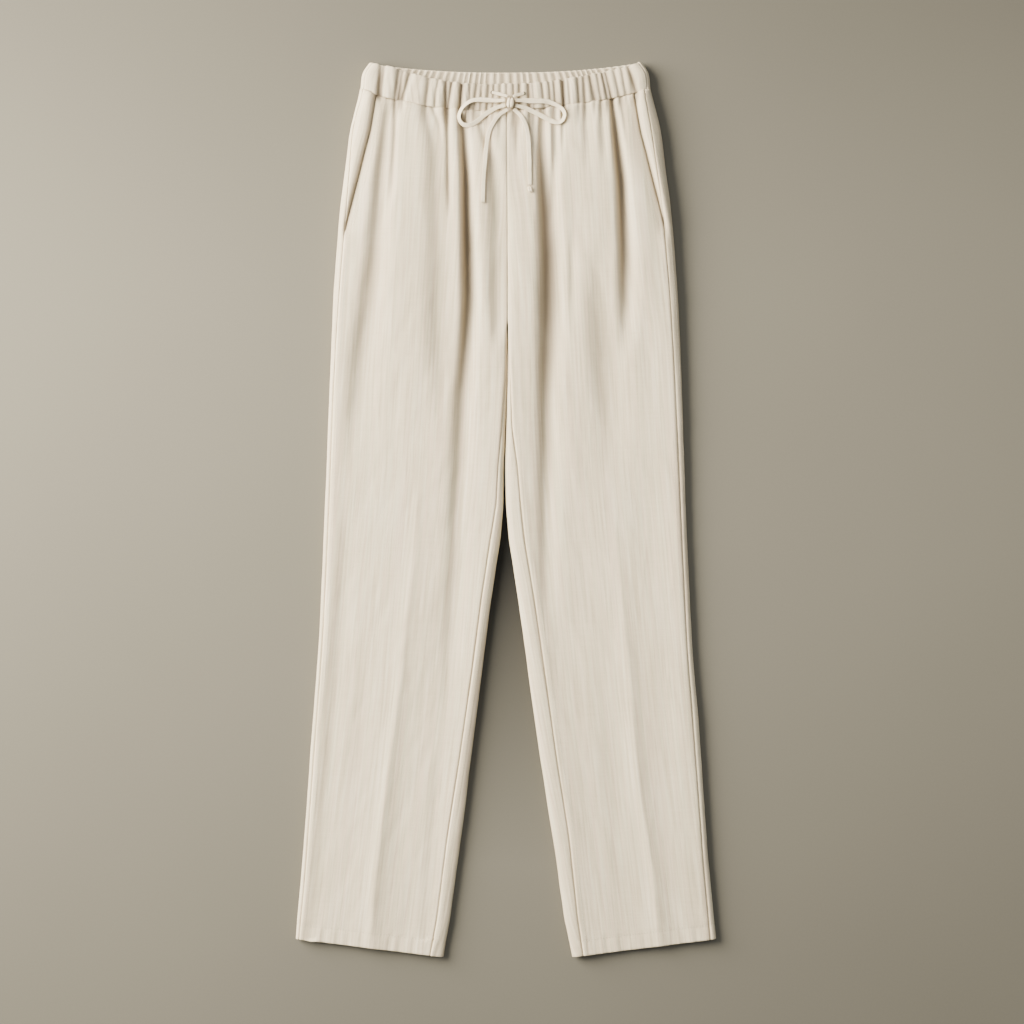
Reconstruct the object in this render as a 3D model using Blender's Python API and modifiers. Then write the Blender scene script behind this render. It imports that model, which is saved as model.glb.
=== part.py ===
"""Linen trousers with a gathered waist and a drawstring, lying flat on their back.

The front faces up and the waist points along +Y. Lengths in the tables are millimetres:
"down" is measured from the top of the waist towards the hems, "across" from the middle
of the garment towards +X. The wearer's right leg is on the -X side.
"""
import math

import bmesh
import bpy
import numpy as np

MM = 0.001
LENGTH = 1033.4
WALL = 1.2
BAND_WALL = 2.2
SEAM_GAP = 0.3
TIGHT_GAP = 0.9
FACING_GAP = 0.5
SIDES = {"right": -1, "left": 1}

# The outline of one leg: how far out its folded edge lies, how thick the fold is, how high
# the cloth stands between the folds, and how far in from the edge the two side seams run.
LEG_COLUMNS = ("down", "outer", "fold", "crown", "side_right", "side_left")
LEG = (
    (0, 157.5, 16.0, 16.5, 3.0, 5.0),
    (8, 163.0, 17.0, 17.0, 3.0, 5.0),
    (32, 167.5, 18.0, 18.0, 3.0, 7.0),
    (80, 179.1, 19.0, 20.0, 3.0, 10.5),
    (114, 183.7, 19.0, 20.5, 4.5, 10.5),
    (160, 189.5, 19.0, 20.5, 7.0, 10.0),
    (229, 195.8, 18.0, 19.5, 7.2, 9.5),
    (310, 200.4, 16.5, 16.5, 5.6, 8.0),
    (390, 203.3, 15.0, 13.5, 4.5, 6.8),
    (483, 206.8, 13.5, 12.0, 4.5, 6.0),
    (575, 210.8, 13.0, 11.0, 4.5, 6.0),
    (667, 215.4, 12.5, 10.5, 4.5, 6.0),
    (759, 222.3, 12.5, 10.5, 4.5, 6.0),
    (851, 229.2, 12.0, 10.0, 4.5, 6.0),
    (943, 236.2, 11.5, 10.0, 4.5, 6.0),
    (1012, 242.8, 10.5, 9.0, 4.5, 6.0),
)

# The inside of the legs, below the crotch: the line halfway between them, half the gap,
# the width of the rolled fold, and how far the inseams lie in from it on the front.
INSIDE_COLUMNS = ("down", "middle", "gap", "roll", "inseam_right", "inseam_left")
INSIDE = (
    (58, 1.7, 0.2, 0.1, 0.0, 0.0),
    (300, 2.2, 0.2, 0.3, 0.0, 0.0),
    (327, 2.3, 0.4, 3.0, 0.0, 0.0),
    (364, 2.2, 0.6, 5.0, 1.2, 2.5),
    (424, 0.2, 0.8, 7.0, 3.5, 7.0),
    (465, -1.6, 0.9, 8.0, 5.5, 14.5),
    (512, -1.1, 1.4, 9.0, 8.0, 17.5),
    (552, -1.1, 5.2, 10.0, 11.0, 18.0),
    (621, -1.1, 15.6, 11.0, 11.0, 19.0),
    (713, -0.5, 27.6, 11.0, 11.5, 19.5),
    (805, 0.5, 40.3, 11.0, 13.0, 18.5),
    (897, 2.0, 53.6, 11.0, 15.5, 18.0),
    (990, 2.3, 66.2, 11.0, 15.0, 15.0),
    (1034, 2.9, 74.9, 11.0, 15.0, 12.5),
)

# The waist from above, by share of its half width: the back and front top edges, and the
# seams that join the band to the panels.
WAIST_COLUMNS = ("share", "back_top", "front_top", "front_seam", "back_seam")
WAIST = (
    (-1.00, 0.6, 0.8, 32.3, 32.3),
    (-0.87, 3.9, 4.5, 40.5, 36.5),
    (-0.67, 7.3, 13.8, 48.0, 40.0),
    (-0.48, 9.6, 20.5, 53.8, 42.5),
    (-0.31, 10.9, 23.8, 56.0, 44.0),
    (0.00, 11.5, 24.8, 58.4, 44.5),
    (0.35, 10.4, 21.2, 52.5, 43.5),
    (0.62, 7.6, 13.8, 46.8, 40.5),
    (0.83, 3.9, 7.3, 40.0, 37.0),
    (1.00, 0.0, 0.2, 32.3, 32.3),
)

# The pocket mouths slant from the waist seam out to the side seams, alike on both sides.
POCKET_COLUMNS = ("down", "mouth")
POCKET = ((32, 147.0), (80, 154.9), (102, 160.7), (137, 169.2), (168, 177.4), (197, 184.5))
POCKET_END = 197
FACING_END = 188
FACING_UNDERLAP = 10.0
POCKET_LIFT = 1.6
POCKET_SINK = 1.5

# Where the folds of the front lie, how deep each one is and half its width. A depth below
# nought is a ridge: the pressed creases of the legs.
FOLD_COLUMNS = ("down", "across", "depth", "half_width")
FOLDS = {
    "pocket_right": ((50, -135, 2.5, 5), (137, -143, 4.0, 6), (218, -149, 3.0, 7), (333, -163, 1.5, 9),
                     (448, -176, 0.0, 10)),
    "beside_pocket": ((50, -125, 2.5, 5), (137, -129, 3.0, 5), (165, -129, 0.0, 5)),
    "hip_right": ((50, -92, 3.0, 9), (102, -75, 4.0, 12), (160, -74, 3.5, 14), (250, -72, 0.0, 14)),
    "slit_right": ((45, -66, 3.0, 4), (137, -63, 3.0, 4), (170, -63, 0.0, 4)),
    "thigh_right": ((45, -50, 7.0, 6), (137, -44, 11.0, 7), (218, -41, 12.0, 8), (275, -41, 9.5, 8),
                    (333, -45, 6.5, 9), (390, -50, 5.0, 10), (506, -55, 4.0, 11), (575, -57, 3.2, 11),
                    (667, -64, 2.5, 11), (759, -68, 0.0, 11)),
    "by_the_bow_right": ((60, -33, 2.5, 5), (110, -19, 2.5, 6), (150, -12, 2.5, 10), (300, -11, 2.0, 10),
                         (330, -11, 0.0, 8)),
    "centre_seam": ((60, 1.7, 1.0, 4), (300, 2.2, 1.5, 4), (327, 2.3, 2.0, 4), (345, 2.3, 0.0, 4)),
    "by_the_bow_left": ((60, 13, 2.5, 5), (100, 13, 1.5, 5), (120, 13, 0.0, 5)),
    "under_the_bow": ((60, 33, 3.0, 5), (100, 33, 1.5, 5), (120, 34, 0.0, 5)),
    "thigh_left": ((60, 44, 5.0, 5), (108, 44, 6.0, 6), (218, 47, 12.0, 9), (275, 48, 11.0, 10),
                   (333, 48, 8.5, 10), (390, 48, 6.0, 10), (506, 48, 3.5, 10), (575, 49, 2.0, 10),
                   (667, 49, 0.0, 10)),
    "thigh_left_second": ((60, 56, 3.0, 4), (108, 57, 4.0, 5), (150, 55, 3.0, 5), (190, 52, 0.0, 5)),
    "slit_left": ((45, 66, 3.0, 4), (90, 66, 2.0, 4), (110, 66, 0.0, 4)),
    "small_left": ((190, 76, 0.0, 5), (225, 76, 2.0, 5), (270, 77, 2.0, 5), (310, 77, 0.0, 5)),
    "hip_left": ((50, 93, 2.5, 6), (90, 94, 2.0, 6), (130, 95, 0.0, 6)),
    "hip_left_outer": ((45, 110, 3.0, 5), (85, 112, 2.5, 5), (130, 114, 0.0, 5)),
    "pocket_left": ((42, 123, 6.0, 5), (80, 128, 8.0, 6), (137, 135, 9.0, 7), (218, 139, 8.0, 8),
                    (275, 139, 5.5, 9), (340, 138, 0.0, 9)),
    "outer_dip_right": ((430, -182, 0.0, 9), (560, -185, 1.8, 10), (800, -203, 1.8, 10), (1000, -222, 1.2, 9)),
    "crease_right": ((470, -98, 0.0, 9), (560, -105, -1.6, 9), (717, -121.5, -2.0, 8), (822, -135.8, -2.2, 8),
                     (943, -150.6, -2.4, 8), (1030, -156.5, -2.0, 8)),
    "inner_valley_right": ((760, -70, 0.0, 9), (850, -80, 1.5, 9), (1000, -92, 1.2, 9)),
    "crease_left": ((540, 128, 0.0, 9), (621, 134.2, -1.5, 9), (711, 143.4, -2.0, 8), (833, 153.4, -2.2, 8),
                    (943, 171.4, -2.4, 8), (1020, 177.0, -2.0, 8)),
    "middle_dip_left": ((650, 112, 0.0, 14), (800, 122, 1.5, 15), (960, 132, 1.5, 15), (1020, 136, 0.8, 15)),
}

# The gathers at the waist: how many cross the front and the back, how deep they are, between
# which levels they fade out on the panels, and how unevenly they are spaced.
FRONT_GATHERS = 29
BACK_GATHERS = 42
FRONT_GATHER_DEPTH = 3.0
BACK_GATHER_DEPTH = 1.3
GATHERS_START = 40
GATHERS_END = 118
UNEVEN_COLUMNS = ("size", "pace", "start")
UNEVEN = ((0.38, 2.3, 1.0), (0.2, 5.1, 0.0))
GATHER_SPARE = 0.3

# The front waistband from its top to its seam: the share of its depth, how far it stands
# out from the fold of the leg below, and the share of the gathers' full depth.
BAND_COLUMNS = ("share", "puff", "gather")
BAND = ((0.0, -1.2, 0.55), (0.12, 0.6, 0.604), (0.5, 1.6, 0.775), (0.9, 0.9, 0.955), (1.0, -0.2, 1.0))

ROWS_GATHERED = (32.6, 46, 64, 86)
ROWS_HIP = (110, 138, 168, 197, 228, 260, 288, 306, 318, 326.6, 336, 354, 388)
ROWS_LEG = (432, 486, 545, 608, 672, 740, 808, 876, 940, 985, 1012)

# The drawstring's ways, by hand: across, down, height above the cloth, turn of the flat
# tape in degrees, and its width as a share of the full one.
TAPE_WIDTH = 5.6
TAPE_THICKNESS = 1.7
TAPE_COLUMNS = ("across", "down", "above", "turn", "share")
KNOT = {"across": 5.8, "down": 49.3, "size": (9.8, 12.3, 7.4)}
TAPES = {
    "drawstring_loop_right": (
        (0.3, 46.4, 3.6, 0, 0.62), (-9.8, 46.6, 2.0, 10, 0.85), (-21.3, 46.0, 1.2, 15, 1.0),
        (-32.3, 45.6, 1.2, 25, 1.0), (-41.5, 48.0, 1.8, 35, 0.95), (-49.5, 55.0, 2.0, 40, 0.9),
        (-53.4, 64.5, 1.8, 40, 0.9), (-50.7, 72.0, 1.6, 35, 0.9), (-43.5, 74.9, 1.2, 30, 0.95),
        (-34.3, 71.4, 1.0, 15, 1.0), (-22.0, 61.6, 1.0, 5, 0.95), (-9.8, 54.6, 1.8, 0, 0.8),
        (0.3, 52.2, 3.0, 0, 0.62)),
    "drawstring_loop_left": (
        (11.3, 46.4, 3.6, 0, 0.62), (20.0, 46.4, 2.2, 5, 0.85), (30.0, 46.8, 1.4, 10, 1.0),
        (40.0, 46.9, 1.2, 15, 1.0), (49.0, 47.8, 1.2, 25, 0.95), (58.2, 51.3, 1.6, 35, 0.9),
        (65.4, 56.4, 1.8, 40, 0.9), (68.1, 62.4, 1.8, 40, 0.9), (66.0, 68.8, 1.6, 35, 0.9),
        (60.2, 71.9, 1.2, 25, 0.95), (52.1, 69.4, 1.0, 10, 1.0), (37.7, 61.9, 1.0, 0, 1.0),
        (22.2, 54.8, 1.6, 0, 0.85), (11.3, 52.2, 3.0, 0, 0.62)),
    "drawstring_tail_right": (
        (2.6, 56.6, 2.6, 0, 0.62), (-2.0, 59.6, 1.4, 0, 0.75), (-8.0, 63.8, 1.0, 0, 0.85),
        (-13.2, 70.8, 1.0, 0, 0.85), (-17.6, 79.0, 1.0, 0, 0.85), (-20.3, 88.5, 1.0, 0, 0.85),
        (-22.0, 101.0, 1.0, 0, 0.85), (-23.3, 115.0, 1.0, 0, 0.85), (-24.8, 131.3, 1.0, 0, 0.85),
        (-25.6, 148.0, 1.0, 0, 0.85), (-25.9, 164.0, 1.0, 0, 0.85)),
    "drawstring_tail_left": (
        (9.4, 56.6, 2.6, 0, 0.62), (14.0, 60.2, 1.4, 0, 0.75), (18.0, 64.6, 1.0, 0, 0.85),
        (21.6, 70.8, 1.0, 0, 0.85), (24.6, 79.6, 1.0, 0, 0.85), (26.2, 90.0, 1.0, 0, 0.85),
        (27.0, 102.0, 1.0, 0, 0.85), (27.5, 116.0, 1.0, 0, 0.85), (27.8, 131.3, 1.0, 0, 0.85),
        (28.2, 144.0, 1.0, 0, 0.7)),
    "drawstring_strand_right": (
        (-15.6, 36.9, 0.6, 0, 0.55), (-9.5, 38.4, 1.4, 0, 0.7), (-3.0, 40.2, 2.4, 0, 0.65),
        (2.8, 42.0, 3.2, 0, 0.5)),
    "drawstring_strand_left": (
        (21.6, 37.8, 0.6, 0, 0.55), (17.2, 39.0, 1.4, 0, 0.65), (12.8, 40.4, 2.4, 0, 0.65),
        (8.8, 42.0, 3.2, 0, 0.5)),
}
TAPE_END_KNOT = {"across": 28.3, "down": 148.8, "size": (5.6, 7.2, 4.6)}


def column(table, names, name):
    """One named column of a table, as an array."""
    return np.array([row[names.index(name)] for row in table], dtype=float)


def curve_through(where, places, values):
    """A smooth curve through the values, read at any place; it is level past both ends."""
    slopes = np.gradient(values, places)
    where = np.clip(where, places[0], places[-1])
    index = np.clip(np.searchsorted(places, where, side="right") - 1, 0, len(places) - 2)
    span = places[index + 1] - places[index]
    step = (where - places[index]) / span
    start = (1 + 2 * step) * (1 - step) ** 2 * values[index] + step * (1 - step) ** 2 * span * slopes[index]
    end = step ** 2 * (3 - 2 * step) * values[index + 1] - step ** 2 * (1 - step) * span * slopes[index + 1]
    return start + end


def leg(name, down):
    return curve_through(down, column(LEG, LEG_COLUMNS, "down"), column(LEG, LEG_COLUMNS, name))


def inside(name, down):
    return np.interp(down, column(INSIDE, INSIDE_COLUMNS, "down"), column(INSIDE, INSIDE_COLUMNS, name))


def waist(name, share):
    return curve_through(share, column(WAIST, WAIST_COLUMNS, "share"), column(WAIST, WAIST_COLUMNS, name))


def mouth(down):
    return np.interp(down, column(POCKET, POCKET_COLUMNS, "down"), column(POCKET, POCKET_COLUMNS, "mouth"))


def ease(value):
    """A step from nought to one that starts and ends gently."""
    value = np.clip(value, 0, 1)
    return value * value * (3 - 2 * value)


CROTCH = 327
CROTCH_TURN_START = 296
TIGHT_END = 500
HIP_LEVEL = 170
HEM_TILT = 21.0
TOP_SEAM = 32.3
TOP_ROW = ROWS_GATHERED[0]
OUTER_ROLL = 12.0
CROWN_REACH = 30.0
END_REACH = 1.8
END_MARGIN = 0.015
END_SHARE = 0.975
FOLD_START_REACH = 20
BAND_DEPTH = 31.0
BAND_MIDDLE = 20
BAND_END_INSET = 6.0
BAND_END_SLOPE = 18.0
BAND_TOP_PUFF = 1.6
BAND_TOP_GATHER = 0.6
BACK_BAND_FLAT = 0.93
BACK_BAND_CLEAR = 0.5
BACK_BAND_TURNS = 7
BACK_BAND_PAST = 0.2
BACK_BAND_FADE = 8
POCKET_SLOPE = 12
POCKET_DEEPER = 8
POCKET_INNER = 14
FACING_SLOPE = 2.5
WAIST_AT_POCKET = 0.9
FLOOR_STEP = 0.25
DENSE_STATIONS = 1200
STATION_SPARE = 0.2
REST_REACH = 4.0
KNOT_CLEAR = 0.5
KNOT_ROUNDING = 0.32
HIP_COLUMNS = 27
LEG_COLUMNS_FRONT = 18
BACK_COLUMNS = 17
FACING_COLUMNS = 8


def gather_phase(share, count):
    """How many gathers lie between the right end of the waist and this share of its width."""
    turn = math.pi * (share + 1)
    return count * (share + 1) / 2 + sum(size * np.sin(pace * turn + start) for size, pace, start in UNEVEN)


def gather_shares(count, per_gather, low, high):
    """Shares of the waist at even steps of the gathers' phase, between two shares."""
    shares = np.linspace(-1, 1, 4001)
    phases = gather_phase(shares, count)
    first = math.ceil(np.interp(low, shares, phases) * per_gather + GATHER_SPARE)
    last = math.floor(np.interp(high, shares, phases) * per_gather - GATHER_SPARE)
    inner = np.interp(np.arange(first, last + 1) / per_gather, phases, shares)
    return np.concatenate(([low], inner, [high]))


def gathers(share, count, depth):
    """The depth of the gathers: nought on a crest and the full depth in a valley."""
    return depth * (0.5 - 0.5 * np.cos(2 * math.pi * gather_phase(share, count)))


def folds(across, down):
    """The summed depth of the named folds at a place on the front."""
    total = np.zeros_like(across)
    for rows in FOLDS.values():
        places = column(rows, FOLD_COLUMNS, "down")
        middle = np.interp(down, places, column(rows, FOLD_COLUMNS, "across"))
        depth = np.interp(down, places, column(rows, FOLD_COLUMNS, "depth"))
        half_width = np.interp(down, places, column(rows, FOLD_COLUMNS, "half_width"))
        near = np.where(down < places[-1], 1.0, 0.0) * np.where(down < places[0] - FOLD_START_REACH, 0.0, 1.0)
        total += near * depth * np.exp(-((across - middle) / half_width) ** 2)
    return total


def front_height(side, across, down, outer, inner, roll_in):
    """Height of the front over its fold, and the share of the pocket's lift, at some places."""
    out = side * across
    edge = np.minimum(outer - OUTER_ROLL - out, np.where(down > CROTCH, out - inner - roll_in, 1e3))
    crown = (leg("crown", down) - leg("fold", down)) * ease(edge / CROWN_REACH)
    fade = ease((GATHERS_END - down) / (GATHERS_END - GATHERS_START))
    small = fade * gathers(across / outer, FRONT_GATHERS, FRONT_GATHER_DEPTH)
    height = crown - folds(across, down) - small
    inward = mouth(down) - out
    pocket = ease((POCKET_END + POCKET_DEEPER - down) / POCKET_SLOPE)
    return height, pocket * ease((FACING_UNDERLAP + POCKET_INNER - inward) / POCKET_SLOPE)


def ring(side, row, station):
    """Points on the flattened tube of one leg at a row, by station round it.

    Stations run from the outer edge (0) over the front (1 to 2) to the inner edge (3), back
    along the floor (4 to 5) to the outer edge (6) and up on to the front again (7).
    """
    station = np.asarray(station, dtype=float)
    tilt = row_tilt(row)
    outer = float(leg("outer", row))
    fold = float(leg("fold", row))
    roll_in = float(inside("roll", row + tilt))
    inner = inner_edge(side, row)
    upper = (station <= 3) | (station > 6)
    turned = np.where(station > 6, station - 6, station)
    outer_angle = np.clip(np.where(upper, turned, 6 - turned), 0, 1) * math.pi / 2
    inner_angle = np.clip(np.abs(3 - turned), 0, 1) * math.pi / 2
    outer_place = outer - OUTER_ROLL * (1 - np.cos(outer_angle))
    inner_place = inner + roll_in * (1 - np.cos(inner_angle))
    way = np.clip(np.where(upper, turned - 1, 5 - turned), 0, 1)
    out = outer_place * (1 - way) + inner_place * way
    rise = np.where(way <= 0, np.sin(outer_angle), np.where(way >= 1, np.sin(inner_angle), 1.0))
    height = fold / 2 * (1 + np.where(upper, rise, -rise))
    across = side * out
    share = np.clip(across / outer, -1, 1)
    in_share = np.clip((outer - out) / (outer - inner), 0, 1)
    seam = np.where(upper, waist("front_seam", share), waist("back_seam", share))
    down = row + seam_level(seam, row) + tilt * in_share
    bump, pocket = front_height(side, across, down, outer, inner, roll_in)
    return across, down, height + np.where(upper, rise * bump, 0), np.where(upper, rise * pocket, 0)


def row_tilt(row):
    """How much lower a row lies at the inner edge than at the outer one."""
    return HEM_TILT * float(ease((row - CROTCH) / (ROWS_LEG[-1] - CROTCH)))


def inner_edge(side, row):
    below = row + row_tilt(row)
    return side * float(inside("middle", below)) + float(inside("gap", below))


def seam_level(seam, row):
    """How far the waist seam's curve still lowers a row below its own level."""
    return (seam - TOP_SEAM) * (1 - ease((row - TOP_ROW) / (HIP_LEVEL - TOP_ROW)))


def inseam_station(name, side, row):
    """Station of the front's inner end: the centre seam, then the inseam below the crotch."""
    if row <= CROTCH:
        return 2.0 + crotch_turn(row)
    below = row + row_tilt(row)
    inset = float(inside("inseam_" + name, below))
    roll_in = float(inside("roll", below))
    if inset < roll_in:
        return 3.0 - math.acos(1 - inset / roll_in) / (math.pi / 2)
    flat = float(leg("outer", row)) - OUTER_ROLL - inner_edge(side, row) - roll_in
    return 2.0 - (inset - roll_in) / flat


def side_station(name, row):
    inset = float(leg("side_" + name, row))
    return math.acos(1 - inset / OUTER_ROLL) / (math.pi / 2)


def mouth_station(side, row, underlap=0.0):
    """Station of the pocket mouth on the front, or of a place further in under it."""
    seam = float(waist("front_seam", side * WAIST_AT_POCKET))
    out = float(mouth(row + float(seam_level(seam, row)))) - underlap
    return float(station_of(side, row, out))


def inseam_gap(row):
    """Half the gap at the inner seams, wider where the cloth turns tightly past the crotch."""
    return TIGHT_GAP / 2 if CROTCH < row < TIGHT_END else SEAM_GAP / 2


def crotch_turn(row):
    """Share of the way down that the centre seams have gone round the crotch."""
    return float(ease((row - CROTCH_TURN_START) / (CROTCH - CROTCH_TURN_START)))


def station_of(side, row, out):
    """Station on the front of a place measured outwards from the middle."""
    dense = np.linspace(0.02, 2.999, DENSE_STATIONS)
    across = ring(side, row, dense)[0]
    return np.interp(-np.asarray(out), -side * across, dense)


def walk(side, row, first, last, floor_step=1.0):
    """Stations from just before the first to just past the last, and their way along the cloth."""
    dense = np.linspace(first - STATION_SPARE, last + STATION_SPARE, DENSE_STATIONS)
    across, _, height, _ = ring(side, row, dense)
    middle = (dense[1:] + dense[:-1]) / 2
    step = np.hypot(np.diff(across), np.diff(height)) * np.where((middle > 4) & (middle < 5), floor_step, 1.0)
    way = np.concatenate(([0], np.cumsum(step)))
    return dense, way - np.interp(first, dense, way)


def even_stations(side, row, first, last, count, first_gap, last_gap, floor_step=1.0):
    """Stations at even steps along the cloth, short ones at the seams, and one past each end."""
    dense, way = walk(side, row, first, last, floor_step)
    start = first_gap
    end = float(np.interp(last, dense, way)) - last_gap
    first_steps = (start - END_REACH, start, start + END_REACH)
    last_steps = (end - END_REACH, end, end + END_REACH)
    between = np.linspace(start + END_REACH, end - END_REACH, count - 2)[1:-1]
    return np.interp(np.concatenate((first_steps, between, last_steps)), way, dense)


def gathered_stations(side, row, first, last, shares, first_gap, last_gap):
    """Stations at the gathers' crests, valleys and slopes, with one more past each end."""
    ends = even_stations(side, row, first, last, 4, first_gap, last_gap)
    inner = np.sort(station_of(side, row, side * shares * float(leg("outer", row))))
    inner = inner[(inner > ends[2] + END_MARGIN) & (inner < ends[3] - END_MARGIN)]
    return np.concatenate((ends[:3], inner, ends[3:]))


def place(across, down, height):
    """Points in metres from arrays in the tables' millimetres."""
    return [(a * MM, (LENGTH / 2 - d) * MM, h * MM) for a, d, h in zip(across, down, height)]


def linen(name, colour, roughness):
    material = bpy.data.materials.new(name)
    material.use_nodes = True
    surface = material.node_tree.nodes["Principled BSDF"]
    surface.inputs["Base Color"].default_value = (*colour, 1.0)
    surface.inputs["Roughness"].default_value = roughness
    surface.inputs["Metallic"].default_value = 0.0
    return material


def stitch(bm, upper, lower):
    """Faces between two rows of points, which may differ in number."""
    if len(upper) == len(lower):
        for i in range(len(upper) - 1):
            bm.faces.new((upper[i], lower[i], lower[i + 1], upper[i + 1]))
        return
    i = j = 0
    while i < len(upper) - 1 or j < len(lower) - 1:
        next_upper = (upper[min(i + 1, len(upper) - 1)].co - upper[0].co).length
        next_lower = (lower[min(j + 1, len(lower) - 1)].co - lower[0].co).length
        if j == len(lower) - 1 or (i < len(upper) - 1 and next_upper <= next_lower):
            bm.faces.new((upper[i], lower[j], upper[i + 1]))
            i += 1
        else:
            bm.faces.new((upper[i], lower[j], lower[j + 1]))
            j += 1


def cloth(name, rows, walls, material, flip, group):
    """A wall of cloth: its outer face through the rows, its inner face one wall inside.

    The first and last point of each row lie past the cloth's ends. They only turn the
    wall's ends square to the curve, so that two pieces meet face to face at a seam.
    """
    bm = bmesh.new()
    lines = [[bm.verts.new(point) for point in (row[::-1] if flip else row)] for row in rows]
    for upper, lower in zip(lines, lines[1:]):
        stitch(bm, upper, lower)
    bm.normal_update()
    inner = {}
    for line, wall in zip(lines, walls):
        depths = wall[::-1] if flip else wall
        for vert, depth in list(zip(line, depths))[1:-1]:
            inner[vert] = vert.co - vert.normal * depth * MM
    bmesh.ops.delete(bm, geom=[vert for line in lines for vert in (line[0], line[-1])], context="VERTS")
    inner = {vert: bm.verts.new(point) for vert, point in inner.items()}
    rims = [edge for edge in bm.edges if edge.is_boundary]
    for face in list(bm.faces):
        bm.faces.new([inner[vert] for vert in reversed(face.verts)])
    for edge in rims:
        loop = edge.link_loops[0]
        start, end = loop.vert, loop.link_loop_next.vert
        bm.faces.new((end, start, inner[start], inner[end]))
    bmesh.ops.triangulate(bm, faces=bm.faces)
    mesh = bpy.data.meshes.new(name)
    bm.to_mesh(mesh)
    bm.free()
    mesh.shade_smooth()
    mesh.set_sharp_from_angle(angle=math.radians(60))
    piece = bpy.data.objects.new(name, mesh)
    piece.data.materials.append(material)
    group.objects.link(piece)
    return piece


def even_walls(rows, wall=WALL):
    return [np.full(len(row), wall) for row in rows]


def front_panel(name, side, material, group):
    """A front leg panel: gathered at the waist, cut away at the pocket, open at the hem."""
    shares = gather_shares(FRONT_GATHERS, 4, -END_SHARE, END_SHARE)
    rows = []
    for row in ROWS_GATHERED + ROWS_HIP + ROWS_LEG:
        at_pocket = row < POCKET_END
        first = mouth_station(side, row) if at_pocket else side_station(name, row)
        last = inseam_station(name, side, row)
        first_gap = 0.0 if at_pocket else SEAM_GAP / 2
        if row in ROWS_GATHERED:
            stations = gathered_stations(side, row, first, last, shares, first_gap, inseam_gap(row))
        else:
            count = HIP_COLUMNS if row in ROWS_HIP else LEG_COLUMNS_FRONT
            stations = even_stations(side, row, first, last, count, first_gap, inseam_gap(row))
        across, down, height, pocket = ring(side, row, stations)
        rows.append(place(across, down, height + POCKET_LIFT * pocket))
    return cloth("front_panel_" + name, rows, even_walls(rows), material, side > 0, group)


def back_panel(name, side, material, group):
    """A back leg panel: flat on the floor, rolled round both edges up to the seams."""
    rows = []
    for row in ROWS_GATHERED + ROWS_HIP + ROWS_LEG:
        first = inseam_station(name, side, row) if row > CROTCH else 4.0 - crotch_turn(row)
        last = 6.0 + side_station(name, row)
        stations = even_stations(side, row, first, last, BACK_COLUMNS, inseam_gap(row), SEAM_GAP / 2, FLOOR_STEP)
        across, down, height, _ = ring(side, row, stations)
        rows.append(place(across, down, height))
    return cloth("back_panel_" + name, rows, even_walls(rows), material, side > 0, group)


def pocket_facing(name, side, material, group):
    """The side piece that shows in the pocket mouth and runs in under the front panel."""
    rows = []
    for row in [row for row in ROWS_GATHERED + ROWS_HIP if row < FACING_END] + [FACING_END]:
        first = side_station(name, row)
        last = mouth_station(side, row, FACING_UNDERLAP)
        stations = even_stations(side, row, first, last, FACING_COLUMNS, FACING_GAP, 0.0)
        across, down, height, _ = ring(side, row, stations)
        inward = np.linspace(0, 1, len(stations))
        rows.append(place(across, down, height - POCKET_SINK * ease(inward * FACING_SLOPE)))
    return cloth("pocket_facing_" + name, rows, even_walls(rows), material, side > 0, group)


def front_band(material, group):
    """The front of the waistband: a casing drawn up in gathers, with a soft upper edge."""
    shares = gather_shares(FRONT_GATHERS, 4, -END_SHARE, END_SHARE)
    shares = np.concatenate(([-END_SHARE - END_MARGIN], shares, [END_SHARE + END_MARGIN]))
    rows = []
    seam = waist("front_seam", shares) - SEAM_GAP
    for height_share, puff, gather in BAND:
        down = waist("front_top", shares) * (1 - height_share) + seam * height_share
        outer = float(leg("outer", height_share * BAND_DEPTH))
        fold = float(leg("fold", height_share * BAND_DEPTH))
        inset = (1 - np.abs(shares)) * outer
        rise = np.sqrt(1 - (1 - np.clip(inset / OUTER_ROLL, 0, 1)) ** 2)
        waves = gathers(shares, FRONT_GATHERS, FRONT_GATHER_DEPTH * gather)
        height = fold / 2 * (1 + rise) + ease((inset - BAND_END_INSET) / BAND_END_SLOPE) * (puff - waves)
        rows.append(place(shares * outer, down, height))
    return cloth("waistband_front", rows, even_walls(rows, BAND_WALL), material, False, group)


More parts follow.
